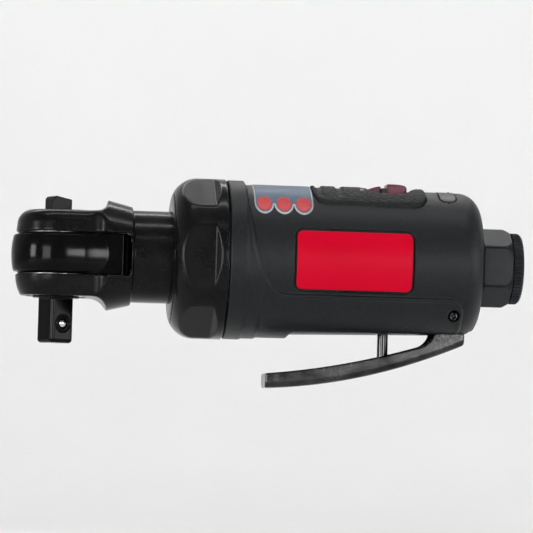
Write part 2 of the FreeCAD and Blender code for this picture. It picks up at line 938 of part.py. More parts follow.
def drive_bushing():
    outer = rod("bushing_outer", "X", "bushing_start", "bushing_end", "bushing_radius", 0, "-crank_throw")
    inner = rod("bushing_inner", "X", "bushing_start - 1", "bushing_end + 1", "crank_pin_radius", 0,
                "-crank_throw")
    keep(cut("drive_bushing", outer, inner), "drive_bushing")


def crank_bearing():
    sleeve = ring("crank_bearing", "bearing_front", "bearing_rear", "journal_radius + fit_gap", "neck_bore")
    keep(sleeve, "crank_bearing")


def planet_gears():
    for index in range(3):
        solid = gear_solid(int(size("planet_teeth")), size("planet_front"), size("planet_rear"))
        across, up = polar(size(planet_place()), 120 * index)
        solid.translate(FreeCAD.Vector(0, across, up))
        gear = formed(f"planet_blank_{index + 1}", solid)
        bore = rod(f"planet_bore_{index + 1}", "X", "planet_front - 1", "planet_rear + 1", "planet_bore",
                   f"{planet_place()} * cos({120 * index})", f"{planet_place()} * sin({120 * index})")
        keep(cut(f"planet_gear_{index + 1}", gear, bore), f"planet_gear_{index + 1}")


def planet_pins():
    pins = [
        rod(f"planet_pin_{index + 1}", "X", "carrier_front + 0.2", "planet_pin_rear", "planet_pin_radius",
            f"{planet_place()} * cos({120 * index})", f"{planet_place()} * sin({120 * index})")
        for index in range(3)
    ]
    keep(group("planet_pins", *pins), "planet_pins")


def ring_gear():
    teeth = int(size("ring_teeth"))
    module = size("gear_module")
    corners = gear_corners(teeth, 1.25 * module, 0.95 * module, -size("gear_backlash"))
    opening = formed("ring_gear_tool", polygon_prism(corners, size("ring_front") - 1, size("ring_rear") + 1))
    blank = ring("ring_gear_blank", "ring_front", "ring_rear", 5, "case_bore")
    keep(cut("ring_gear", blank, opening), "ring_gear")


def gear_spacer():
    keep(ring("gear_spacer", "spacer_front", "spacer_rear", "spacer_bore", "case_bore"), "gear_spacer")


# ---- vane motor ----


def front_end_plate():
    body = turned(
        "front_end_plate",
        [
            ("plate_front", "ball_race_radius"),
            ("plate_web", "ball_race_radius"),
            ("plate_web", "front_journal + 0.5"),
            ("motor_front", "front_journal + 0.5"),
            ("motor_front", "case_bore"),
            ("plate_front", "case_bore"),
        ],
    )
    hole = rod("front_dowel_hole", "X", "motor_front - 2", "motor_front + 1", "dowel_radius", 0,
               "dowel_place")
    keep(cut("front_end_plate_drilled", body, hole), "front_end_plate")


def rear_end_plate():
    body = turned(
        "rear_end_plate",
        [
            ("motor_rear", "rear_journal + 0.5"),
            ("rear_web", "rear_journal + 0.5"),
            ("rear_web", "ball_race_radius"),
            ("rear_plate_end", "ball_race_radius"),
            ("rear_plate_end", "case_bore"),
            ("motor_rear", "case_bore"),
        ],
    )
    hole = rod("rear_dowel_hole", "X", "motor_rear - 1", "motor_rear + 2", "dowel_radius", 0, "dowel_place")
    feed = rod("rear_feed_hole", "X", "motor_rear - 1", "rear_plate_end + 1", "feed_radius", 0,
               "-feed_height")
    keep(cut("rear_end_plate_drilled", body, hole, feed), "rear_end_plate")


def ball_bearing(prefix, start, end, journal):
    """Outer race, inner race and balls, in three nodes."""
    middle = f"({start} + {end}) / 2"
    keep(ring(f"{prefix}_outer_race", start, end, "race_outer", "ball_race_radius"), f"{prefix}_outer_race")
    keep(ring(f"{prefix}_inner_race", start, end, journal, "race_inner"), f"{prefix}_inner_race")
    count = int(size("bearing_balls"))
    step = FULL_TURN / count
    balls = [
        ball(f"{prefix}_ball_{index}", "bearing_ball_radius", middle,
             f"bearing_ball_place * cos({index * step})", f"bearing_ball_place * sin({index * step})")
        for index in range(count)
    ]
    keep(group(f"{prefix}_balls", *balls), f"{prefix}_balls")


def bearings():
    ball_bearing("front_bearing", "plate_front + 0.05", "plate_web", "front_journal")
    ball_bearing("rear_bearing", "rear_web", "rear_plate_end", "rear_journal")


def rotor():
    body = turned(
        "rotor_body",
        [
            ("planet_rear", 0),
            ("planet_rear", "gear_module * sun_teeth / 2 - 0.7"),
            ("spacer_front", "gear_module * sun_teeth / 2 - 0.7"),
            ("spacer_front", "front_journal"),
            ("motor_front + 0.1", "front_journal"),
            ("motor_front + 0.1", "rotor_radius"),
            ("motor_rear - 0.1", "rotor_radius"),
            ("motor_rear - 0.1", "rear_journal"),
            ("rotor_rear_end - 0.3", "rear_journal"),
            ("rotor_rear_end", "rear_journal - 0.3"),
            ("rotor_rear_end", 0),
        ],
    )
    pinion = formed(
        "rotor_pinion",
        gear_solid(int(size("sun_teeth")), size("planet_front + 0.2"), size("spacer_front + 0.1")),
    )
    slots = []
    count = int(size("vane_count"))
    for index in range(count):
        slot = block(
            f"rotor_slot_{index + 1}",
            ("motor_front", "-vane_thick / 2 - fit_gap", "vane_foot - 0.1"),
            ("motor_rear", "vane_thick / 2 + fit_gap", "rotor_radius + 1"),
        )
        slots.append(turn_about_x(slot, index * FULL_TURN / count))
    keep(cut("rotor", join("rotor_solid", body, pinion), *slots), "rotor")


def rotor_vanes():
    count = int(size("vane_count"))
    vanes = []
    for index in range(count):
        vane = block(
            f"vane_{index + 1}",
            ("motor_front + 0.15", "-vane_thick / 2", "vane_foot"),
            ("motor_rear - 0.15", "vane_thick / 2", "vane_tip"),
        )
        vanes.append(turn_about_x(vane, index * FULL_TURN / count))
    keep(group("rotor_vanes", *vanes), "rotor_vanes")


def motor_cylinder():
    sleeve = rod("cylinder_outer", "X", "motor_front", "motor_rear", "case_bore")
    bore = rod("cylinder_bore_tool", "X", "motor_front - 1", "motor_rear + 1", "cylinder_bore", 0,
               "-cylinder_offset")
    dowel = rod("cylinder_dowel_tool", "X", "motor_front - 1", "motor_rear + 1", "dowel_radius", 0,
                "dowel_place")
    feed = rod("cylinder_feed_tool", "X", "motor_rear - 5", "motor_rear + 1", "feed_radius", 0,
               "-feed_height - 1")
    keep(cut("motor_cylinder", sleeve, bore, dowel, feed), "motor_cylinder")


def cylinder_dowel():
    keep(rod("cylinder_dowel", "X", "motor_front - 2", "motor_rear + 2", "dowel_radius", 0, "dowel_place"),
         "cylinder_dowel")


def motor_case():
    keep(ring("motor_case", "case_front", "case_rear", "case_bore", "case_radius"), "motor_case")


# ---- clamp nut and handle ----


def clamp_nut():
    body = turned(
        "nut_body",
        [
            ("nut_front", "nut_bore"),
            ("nut_front", "nut_front_radius", "nut_dome_round"),
            ("nut_dome_end", "nut_dome_radius", "nut_dome_round * 2"),
            ("nut_shoulder", "nut_radius"),
            ("nut_rear - 0.4", "nut_radius"),
            ("nut_rear", "nut_radius - 0.4"),
            ("nut_rear", "nut_inner"),
            ("flange_rear + 0.1", "nut_inner"),
            ("flange_rear + 0.1", "flange_radius + 0.2"),
            ("nut_seat", "flange_radius + 0.2"),
            ("nut_seat", "nut_bore"),
        ],
    )
    flats = []
    count = int(size("flat_sides"))
    for index in range(count):
        flat = slab(
            f"nut_flat_{index + 1}",
            [
                ("nut_front", "nut_apothem"),
                ("flat_rear", "nut_apothem"),
                ("flat_rear + flat_wall", "nut_radius + 0.2"),
                ("nut_front", "nut_radius + 0.2"),
            ],
            "nut_radius / 2",
        )
        spin = FreeCAD.Rotation(FreeCAD.Vector(1, 0, 0), 90 + index * FULL_TURN / count)
        flat.Placement = FreeCAD.Placement(FreeCAD.Vector(), spin)
        flats.append(flat)
    keep(cut("clamp_nut", body, *flats), "clamp_nut")


def curved_patch(name, start, end, floor, outer, low, high):
    """Piece of a tube about the tool axis, between two corners of a box across Y and Z."""
    wall = ring(name + "_wall", start, end, floor, outer)
    window = block(name + "_window", (start, low[0], low[1]), (end, high[0], high[1]))
    return meet(name, wall, window)


def pad_patch(name, floor, outer, spare):
    return curved_patch(
        name, f"pad_start - {spare}", f"pad_end + {spare}", floor, outer,
        (f"-pad_half_width - {spare}", 0), (f"pad_half_width + {spare}", "collar_radius + 1"),
    )


def label_patch(name, floor, outer, spare):
    return curved_patch(
        name, f"label_start - {spare}", f"label_end + {spare}", floor, outer,
        (f"-label_half_width - {spare}", 0), (f"label_half_width + {spare}", "collar_radius + 1"),
    )


def plate_patch(name, floor, outer, spare):
    return curved_patch(
        name, f"plate_start - {spare}", f"plate_end + {spare}", floor, outer,
        ("-collar_radius - 1", f"plate_rise - plate_half_height - {spare}"),
        (0, f"plate_rise + plate_half_height + {spare}"),
    )


def inlay_patch(name, floor, outer, spare):
    return curved_patch(
        name, f"inlay_start - {spare}", f"inlay_end + {spare}", floor, outer,
        (f"-inlay_half_width - {spare}", 0), (f"inlay_half_width + {spare}", "collar_radius + 1"),
    )


def knob_pocket(name, spare):
    """Oblong pocket across the handle for the regulator knob, open upwards."""
    half = f"knob_pocket_half + {spare}"
    middle = block(
        name + "_middle",
        (f"stem_place - ({half})", "-knob_pocket_reach", "knob_pocket_floor"),
        (f"stem_place + {half}", "knob_pocket_reach", "collar_radius + 2"),
    )
    ends = [
        rod(f"{name}_end_{side}", "Z", "knob_pocket_floor", "collar_radius + 2", half, "stem_place",
            f"{side} * knob_pocket_reach")
        for side in (-1, 1)
    ]
    return join(name, middle, *ends)


def handle_blank():
    return turned(
        "handle_blank",
        [
            ("handle_front", 0),
            ("handle_front", "collar_radius - 0.4"),
            ("handle_front + 0.4", "collar_radius"),
            ("collar_rear", "collar_radius"),
            ("body_start", "body_radius"),
            ("rear_round_start", "body_end_radius", "11"),
            ("rear_round_mid", "rear_round_mid_radius", "11"),
            ("handle_rear", "rear_face_radius"),
            ("handle_rear", 0),
        ],
    )


def handle_shell():
    belly = slab(
        "belly_outline",
        [
            ("handle_front", -3),
            ("handle_front", "-collar_radius - 1"),
            ("belly_end", "-collar_radius - 1"),
            ("belly_end + 0.8", -3),
        ],
        "collar_radius",
    )
    belly_round = rod("belly_round", "X", "handle_front + 0.5", "belly_end + 1", "belly_radius")
    solid = join("handle_solid", handle_blank(), meet("belly", belly, belly_round))
    underside = slab(
        "underside_tool",
        [
            ("underside_start", "-underside_front"),
            ("handle_rear + 1", "-underside_rear"),
            ("handle_rear + 1", "-collar_radius - 3"),
            ("underside_start - 0.4", "-collar_radius - 3"),
        ],
        "collar_radius",
    )
    cavity = rod("cavity_tool", "X", "handle_front - 1", "cavity_end", "front_cavity")
    socket = rod("inlet_socket", "X", "inlet_socket_start", "handle_rear + 1", "inlet_socket_radius")
    chamber = rod("inlet_chamber", "X", "inlet_chamber_start", "inlet_socket_start + 1",
                  "inlet_chamber_radius")
    feed = rod("feed_tool", "X", "cavity_end - 1", "stem_place", "feed_radius", 0, "-feed_height")
    port = rod("port_tool", "X", "stem_place", "inlet_chamber_start + 1", "port_radius", 0, "port_height")
    exhaust_holes = [
        rod(f"exhaust_hole_{angle}", "X", "cavity_end - 1", "exhaust_front + 1", "exhaust_hole_radius",
            f"exhaust_hole_place * cos({angle})", f"exhaust_hole_place * sin({angle})")
        for angle in (-5, 20, 45, 135, 160, 185)
    ]
    exhaust = exhaust_sector("exhaust_groove", "exhaust_front", "handle_rear + 1", "0.1")
    tools = [
        underside, cavity, socket, chamber, feed, port, exhaust,
        stack_tool("throttle_tools"), regulator_tool(), knob_pocket("knob_pocket", 0),
        pad_patch("pad_recess", "pad_floor", "collar_radius + 1", "0"),
        label_patch("label_recess", "label_floor", "collar_radius + 1", "0.1"),
        plate_patch("plate_recess", "plate_floor", "collar_radius + 1", "0.15"),
        inlay_patch("inlay_recess", "inlay_floor", "collar_radius + 1", "0"),
        lever_pocket(), pin_bore("pin_bore"),
    ]
    keep(cut("handle_shell", solid, *tools, *exhaust_holes), "handle_shell")


def stack_tool(name):
    """Stepped vertical bore for the stem, its seal, the seat and the valve."""
    steps = [
        ("stem_bushing_radius", "-collar_radius", "-stem_bushing_top"),
        ("seal_radius", "-stem_bushing_top", "-seal_top"),
        ("lower_chamber_radius", "-seal_top", "-seat_bottom"),
        ("throttle_bore", "-seat_bottom", "-throttle_bore_top"),
        ("regulator_web_hole", "-throttle_bore_top - 0.5", "regulator_floor + 0.5"),
    ]
    bores = [
        rod(f"{name}_{index}", "Z", low, high, radius, "stem_place")
        for index, (radius, low, high) in enumerate(steps)
    ]
    return join(name, *bores)


def regulator_tool():
    return rod("regulator_tool", "Z", "regulator_floor", "knob_pocket_floor + 1", "regulator_bore",
               "stem_place")


def lever_pocket():
    return block(
        "lever_pocket",
        ("ear_pocket_start", "-ear_pocket_half", "-collar_radius"),
        ("ear_pocket_end", "ear_pocket_half", "-ear_pocket_top"),
    )


def pin_bore(name):
    shank = rod(name + "_shank", "Y", "-lever_pin_half", "lever_pin_half", "lever_pin_radius",
                "lever_pin_place", "-lever_pin_height")
    mouth = [
        rod(f"{name}_mouth_{side}", "Y", f"{side} * lever_pin_half - collar_radius / 2 * (1 - {side}) ",
            f"{side} * lever_pin_half + collar_radius / 2 * (1 + {side})", "pin_recess_radius",
            "lever_pin_place", "-lever_pin_height")
        for side in (-1, 1)
    ]
    return join(name, shank, *mouth)


def exhaust_sector(name, start, end, spare):
    wall = ring(name + "_wall", start, end, f"exhaust_inner - {spare}", f"exhaust_outer + {spare}")
    half = block(
        name + "_half",
        (start, "-collar_radius", f"-exhaust_inner / 3 - {spare}"),
        (end, "collar_radius", "collar_radius"),
    )
    return meet(name, wall, half)


def exhaust_muffler():
    keep(exhaust_sector("exhaust_muffler", "exhaust_front + 0.1", "muffler_rear", "0"), "exhaust_muffler")


def exhaust_cover():
    plate = exhaust_sector("exhaust_cover_blank", "cover_front", "cover_rear", "0")
    holes = [
        rod(f"cover_hole_{angle}", "X", "cover_front - 1", "cover_rear + 1", 0.9,
            f"(exhaust_inner + exhaust_outer) / 2 * cos({angle})",
            f"(exhaust_inner + exhaust_outer) / 2 * sin({angle})")
        for angle in range(0, 181, 15)
    ]
    keep(cut("exhaust_cover", plate, *holes), "exhaust_cover")


def grip_pad():
    patch = pad_patch("pad_patch", "pad_floor", "pad_radius", "0")
    keep(cut("grip_pad", patch, knob_pocket("pad_opening", "0.2")), "grip_pad")


def plates():
    keep(label_patch("info_label", "label_floor", "label_radius", "0"), "info_label")
    keep(plate_patch("name_plate", "plate_floor", "plate_radius", "0"), "name_plate")
    keep(inlay_patch("top_inlay", "inlay_floor", "inlay_radius", "0"), "top_inlay")


# ---- throttle ----


def stem_bushing():
    keep(ring("stem_bushing", "-stem_bushing_bottom", "-stem_bushing_top - 0.02",
              "stem_radius + fit_gap", "stem_bushing_radius", "Z"), "stem_bushing")
    bind(subparts["stem_bushing"], "Placement.Base.x", "stem_place")


def stem_seal():
    keep(ring("stem_seal", "-stem_bushing_top + 0.1", "-seal_top - 0.1", "stem_radius + fit_gap",
              "seal_radius", "Z"), "stem_seal")
    bind(subparts["stem_seal"], "Placement.Base.x", "stem_place")


def throttle_stem():
    stem = turned(
        "throttle_stem",
        [
            (0, "-stem_end"),
            ("stem_radius * 0.8", "-stem_end + stem_radius * 0.4"),
            ("stem_radius", "-stem_end + stem_radius"),
            ("stem_radius", "-seat_top"),
            (0, "-seat_top"),
        ],
        "Z",
    )
    keep(stem, "throttle_stem")
    bind(stem, "Placement.Base.x", "stem_place")


def throttle_valve():
    disc = turned(
        "throttle_valve",
        [
            (0, "-seat_top + 0.02"),
            ("valve_radius", "-seat_top + 0.02"),
            ("valve_radius", "-valve_top - 0.6"),
            ("valve_radius - 1.2", "-valve_top - 0.6"),
            ("valve_radius - 1.2", "-valve_top"),
            (0, "-valve_top"),
        ],
        "Z",
    )
    keep(disc, "throttle_valve")
    bind(disc, "Placement.Base.x", "stem_place")


def valve_seat():
    keep(ring("valve_seat", "-seat_bottom", "-seat_top", "seat_bore", "throttle_bore", "Z"), "valve_seat")
    bind(subparts["valve_seat"], "Placement.Base.x", "stem_place")


def throttle_spring():
    length = size("valve_top + 0.6 - throttle_bore_top") - 0.1
    place = (size("stem_place"), 0, -size("valve_top + 0.6") + 0.05)
    radius = size("throttle_spring_radius")
    keep(coil("throttle_spring", size("spring_wire"), radius, length, 3.5, place, (0, 0, 1)),
         "throttle_spring")


# ---- regulator ----


def regulator_spool():
    post = turned(
        "spool_post",
        [
            (0, "regulator_floor + 0.2"),
            ("spool_radius", "regulator_floor + 0.2"),
            ("spool_radius", "spool_groove_bottom"),
            ("spool_groove_radius", "spool_groove_bottom"),
            ("spool_groove_radius", "spool_groove_top"),
            ("spool_radius", "spool_groove_top"),
            ("spool_radius", "spool_top"),
            (0, "spool_top"),
        ],
        "Z",
    )
    cross = rod("spool_cross", "X", "-spool_radius - 1", "spool_radius + 1", "port_radius", 0, "port_height")
    down = rod("spool_down", "Z", 0, "port_height", "regulator_web_hole")
    tongue = block(
        "spool_tongue",
        ("dial_slot_start - stem_place", "-tongue_half", "spool_top - 1"),
        ("dial_slot_end - stem_place", "tongue_half", "tongue_top"),
    )
    spool = cut("regulator_spool", join("spool_solid", post, tongue), cross, down)
    keep(spool, "regulator_spool")
    bind(spool, "Placement.Base.x", "stem_place")


def regulator_seal():
    keep(ring("regulator_seal", "spool_groove_bottom + 0.1", "spool_groove_top - 0.1",
              "spool_groove_radius", "spool_radius + 0.02", "Z"), "regulator_seal")
    bind(subparts["regulator_seal"], "Placement.Base.x", "stem_place")


def regulator_knob():
    disc = ring("dial_disc", "dial_bottom", "dial_top", 0, "dial_radius", "Z")
    grip = slab(
        "dial_grip",
        [
            ("dial_slot_end - stem_place", "dial_bottom"),
            ("dial_radius + 0.5", "dial_bottom"),
            ("dial_radius + 0.5", "dial_block_top - 0.5"),
            ("dial_radius - 0.1", "dial_block_top"),
            ("dial_slot_end - stem_place", "dial_block_top"),
        ],
        "dial_block_half",
    )
    pointer = slab(
        "dial_pointer",
        [
            ("-dial_radius - 0.5", "dial_bottom"),
            ("dial_slot_start - stem_place", "dial_bottom"),
            ("dial_slot_start - stem_place", "dial_wedge_top"),
            ("dial_slot_start - stem_place - 1", "dial_wedge_top"),
            ("-dial_radius - 0.5", "dial_wedge_tip"),
        ],
        "dial_wedge_half",
    )
    limit = rod("dial_limit", "Z", "dial_bottom", "dial_block_top + 1", "dial_radius")
    slot = block(
        "dial_slot",
        ("dial_slot_start - stem_place", "-tongue_half", "dial_bottom - 1"),
        ("dial_slot_end - stem_place", "tongue_half", "dial_block_top + 1"),
    )
    whole = meet("dial_whole", join("dial_solid", disc, grip, pointer), limit)
    knob = cut("regulator_knob", whole, slot)
    keep(knob, "regulator_knob")
    bind(knob, "Placement.Base.x", "stem_place")


# ---- lever ----


def throttle_lever():
    blade = slab("lever_blade", lever_points(), "lever_half_width")
    hollow = slab("lever_hollow", hollow_points(), "lever_half_width - lever_wall")
    eye = rod("lever_eye", "Y", "-lever_half_width", "lever_half_width", "lever_ear_radius",
              "lever_pin_place", "-lever_pin_height")
    hole = rod("lever_hole", "Y", "-lever_half_width - 1", "lever_half_width + 1",
               "lever_pin_radius + fit_gap", "lever_pin_place", "-lever_pin_height")
    keep(cut("throttle_lever", join("lever_solid", blade, eye), hollow, hole), "throttle_lever")


BLADE_BOTTOM = [(51.0, 30.1), (58.0, 29.7), (69.8, 27.9), (81.7, 24.95), (91.1, 21.6), (96.7, 19.7)]
BLADE_TOP = [(87.6, 19.1), (80.6, 21.2), (70.6, 23.9), (60.6, 26.0), (50.2, 27.6)]


def lever_points():
    """Side outline of the pressed lever: the web's underside, the ear and the flange's edge."""
    nose = [(49.2, -28.3), (49.5, -29.5)]
    ear = [(96.7, -13.8), ("lever_pin_place + lever_ear_radius", "-lever_pin_height"),
           ("lever_pin_place - lever_ear_radius", "-lever_pin_height"), (88.3, -17.0)]
    return nose + [(x, -drop) for x, drop in BLADE_BOTTOM] + ear + [(x, -drop) for x, drop in BLADE_TOP]


def hollow_points():
    """Space between the lever's flanges, above the web."""
    rise = size("lever_wall")
    floor = [(x, -drop + rise) for x, drop in BLADE_BOTTOM[:-1]]
    return [(49.2 + rise, -28.9)] + floor + [(100, -17.8), (100, -5), (49.2 + rise, -5)]


def lever_pin():
    keep(rod("lever_pin", "Y", "-lever_pin_half", "lever_pin_half", "lever_pin_radius",
             "lever_pin_place", "-lever_pin_height"), "lever_pin")


# ---- inlet ----


def inlet_bushing():
    body = turned(
        "inlet_body",
        [
            ("inlet_front", "inlet_throat"),
            ("screen_seat", "inlet_throat"),
            ("screen_seat", "screen_radius"),
            ("inlet_thread_start", "screen_radius"),
            ("inlet_thread_start", "inlet_thread_radius"),
            ("inlet_rear", "inlet_thread_radius"),
            ("inlet_rear", "spigot_radius"),
            ("hex_rear", "spigot_radius"),
            ("hex_rear", "hex_edge_radius - 0.7"),
            ("hex_rear - 0.7", "hex_edge_radius"),
            ("hex_front", "hex_edge_radius"),
            ("hex_front", "inlet_socket_radius"),
            ("inlet_front", "inlet_socket_radius"),
        ],
    )
    sides = []
    for index in range(6):
        side = block(
            f"hex_side_{index + 1}",
            ("hex_front", "-hex_edge_radius", "hex_across / 2"),
            ("hex_rear + 0.1", "hex_edge_radius", "hex_edge_radius + 1"),
        )
        sides.append(turn_about_x(side, 90 + 60 * index))
    keep(cut("inlet_bushing", body, *sides), "inlet_bushing")


def inlet_collar():
    teeth = int(size("knurl_teeth"))
    outer = size("knurl_radius")
    corners = []
    for index in range(2 * teeth):
        radius = outer if index % 2 else outer - size("knurl_depth")
        corners.append(polar(radius, index * FULL_TURN / (2 * teeth)))
    knurled = formed("collar_knurl", polygon_prism(corners, size("collar_front"), size("collar_end")))
    rounded = turned(
        "collar_round",
        [
            ("collar_front", "spigot_radius"),
            ("collar_end", "spigot_radius"),
            ("collar_end", "knurl_radius - 0.8"),
            ("collar_end - 0.6", "knurl_radius"),
            ("collar_front", "knurl_radius"),
        ],
    )
    keep(meet("inlet_collar", knurled, rounded), "inlet_collar")


def inlet_screen():
    disc = ring("screen_disc", "screen_front", "screen_rear", 0, "screen_radius")
    holes = [
        rod(f"screen_hole_{column}_{row}", "X", "screen_front - 1", "screen_rear + 1", 0.55,
            1.5 * column, 1.5 * row)
        for column in range(-2, 3)
        for row in range(-2, 3)
    ]
    keep(cut("inlet_screen", disc, *holes), "inlet_screen")


def check_and_write():
    doc.recompute()
    for piece in doc.Objects:
        if {"Invalid", "Error"} & set(piece.State):
            raise RuntimeError(f"{piece.Name} is {piece.State}")
    for label, piece in subparts.items():
        if piece.Shape.isNull() or not piece.Shape.isValid() or not piece.Shape.Solids:
            raise RuntimeError(f"{label} has no valid shape")
    os.makedirs("parts", exist_ok=True)
    for label, piece in subparts.items():
        piece.Shape.exportStep(f"parts/{label}.step")
        box = piece.Shape.BoundBox
        print(f"{label:22s} {piece.Shape.Volume:9.2f} mm3 {len(piece.Shape.Solids)} solids "
              f"x {box.XMin:6.1f} {box.XMax:6.1f} y {box.YMin:6.1f} {box.YMax:6.1f} "
              f"z {box.ZMin:6.1f} {box.ZMax:6.1f}")
    print(len(subparts), "sub-parts")


ratchet_housing()
ratchet_yoke()
thrust_washers()
anvil()
pawl()
pawl_pin()
reverse_shaft()
reverse_knob()
reverse_plunger()
reverse_spring()
head_retaining_ring()
detent_ball()
detent_spring()
crankshaft()
drive_bushing()
crank_bearing()
planet_gears()
planet_pins()
ring_gear()
gear_spacer()
front_end_plate()
rear_end_plate()
bearings()
rotor()
rotor_vanes()
motor_cylinder()
cylinder_dowel()
motor_case()
clamp_nut()
handle_shell()
exhaust_muffler()
exhaust_cover()
grip_pad()
plates()
stem_bushing()
stem_seal()
throttle_stem()
throttle_valve()
valve_seat()
throttle_spring()
regulator_spool()
regulator_seal()
regulator_knob()
throttle_lever()
lever_pin()
inlet_bushing()
inlet_collar()
inlet_screen()
check_and_write()
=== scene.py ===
"""Looks for a compact air ratchet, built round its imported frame.

Blender's units are metres.  Shapes are written in millimetres: x runs from the drive axis along the
tool, and y and z are measured from the tool axis.
"""

import json
import math

import bpy
import numpy as np
from mathutils import Matrix, Vector


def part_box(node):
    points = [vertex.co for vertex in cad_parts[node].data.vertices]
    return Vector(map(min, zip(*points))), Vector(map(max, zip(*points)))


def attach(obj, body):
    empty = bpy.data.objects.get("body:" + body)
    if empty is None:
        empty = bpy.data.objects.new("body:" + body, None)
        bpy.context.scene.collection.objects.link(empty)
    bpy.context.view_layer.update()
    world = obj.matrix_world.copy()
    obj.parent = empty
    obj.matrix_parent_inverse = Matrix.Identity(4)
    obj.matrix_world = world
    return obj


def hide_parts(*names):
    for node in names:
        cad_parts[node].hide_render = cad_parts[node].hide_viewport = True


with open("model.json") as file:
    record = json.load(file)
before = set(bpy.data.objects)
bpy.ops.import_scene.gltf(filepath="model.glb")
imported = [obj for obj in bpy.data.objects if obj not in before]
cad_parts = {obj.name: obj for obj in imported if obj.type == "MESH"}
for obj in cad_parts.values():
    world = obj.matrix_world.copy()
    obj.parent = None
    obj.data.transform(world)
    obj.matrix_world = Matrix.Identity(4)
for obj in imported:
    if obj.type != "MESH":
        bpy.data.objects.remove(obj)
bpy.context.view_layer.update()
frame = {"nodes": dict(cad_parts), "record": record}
NODES = frame["nodes"]
MM = 0.001
MOUNTS = {mount["name"]: mount for mount in frame["record"]["mounts"]}
AXIS_HEIGHT = MOUNTS["air_inlet"]["pos_m"][2] / MM

# ---- materials ----


def new_material(name):
    """New material with its node tree and its principled shader."""
    material = bpy.data.materials.new(name)
    material.use_nodes = True
    return material, material.node_tree, material.node_tree.nodes["Principled BSDF"]


def object_noise(tree, scale):
    """Noise that sits on the object in its own metres."""
    place = tree.nodes.new("ShaderNodeTexCoord")
    noise = tree.nodes.new("ShaderNodeTexNoise")
    noise.inputs["Scale"].default_value = scale
    noise.inputs["Detail"].default_value = 4
    noise.inputs["Roughness"].default_value = 0.6
    tree.links.new(place.outputs["Object"], noise.inputs["Vector"])
    return noise.outputs["Fac"]


def object_cells(tree, scale):
    """Distance to the border of small cells, for pebbled rubber."""
    place = tree.nodes.new("ShaderNodeTexCoord")
    cells = tree.nodes.new("ShaderNodeTexVoronoi")
    cells.feature = "DISTANCE_TO_EDGE"
    cells.inputs["Scale"].default_value = scale
    tree.links.new(place.outputs["Object"], cells.inputs["Vector"])
    return cells.outputs["Distance"]


def turning_marks(tree, scale):
    """Fine lines round the tool axis, as a lathe leaves them."""
    place = tree.nodes.new("ShaderNodeTexCoord")
    wave = tree.nodes.new("ShaderNodeTexWave")
    wave.bands_direction = "X"
    wave.inputs["Scale"].default_value = scale
    wave.inputs["Distortion"].default_value = 1.5
    wave.inputs["Detail"].default_value = 2
    tree.links.new(place.outputs["Object"], wave.inputs["Vector"])
    return wave.outputs["Fac"]


def spread(tree, value, low, high):
    """Map the middle of a 0..1 value to low..high."""
    scaling = tree.nodes.new("ShaderNodeMapRange")
    scaling.inputs["From Min"].default_value = 0.3
    scaling.inputs["From Max"].default_value = 0.7
    scaling.inputs["To Min"].default_value = low
    scaling.inputs["To Max"].default_value = high
    tree.links.new(value, scaling.inputs["Value"])
    return scaling.outputs["Result"]


def tint(tree, value, dark, light):
    """Blend two colours by a 0..1 value."""
    mix = tree.nodes.new("ShaderNodeMix")
    mix.data_type = "RGBA"
    mix.inputs["A"].default_value = (*dark, 1)
    mix.inputs["B"].default_value = (*light, 1)
    tree.links.new(value, mix.inputs["Factor"])
    return mix.outputs["Result"]


def bump(tree, shader, height, distance):
    node = tree.nodes.new("ShaderNodeBump")
    node.inputs["Strength"].default_value = 0.7
    node.inputs["Distance"].default_value = distance
    tree.links.new(height, node.inputs["Height"])
    tree.links.new(node.outputs["Normal"], shader.inputs["Normal"])


def make(name, dark, light, roughness, metallic=0.0, specular=0.5, cloud=120, relief=None):
    """Material with a cloud of colour and roughness; relief is (pattern, scale, height in metres)."""
    material, tree, shader = new_material(name)
    clouds = object_noise(tree, cloud)
    tree.links.new(tint(tree, spread(tree, clouds, 0, 1), dark, light), shader.inputs["Base Color"])
    tree.links.new(spread(tree, clouds, *roughness), shader.inputs["Roughness"])
    shader.inputs["Metallic"].default_value = metallic
    shader.inputs["Specular IOR Level"].default_value = specular
    if relief:
        pattern, scale, height = relief
        bump(tree, shader, pattern(tree, scale), height)
    return material


def grey(low, high, warmth=0.0):
    """A darker and a lighter grey, bluer below zero warmth and browner above."""
    return tuple((value * (1 + warmth), value, value * (1 - warmth)) for value in (low, high))


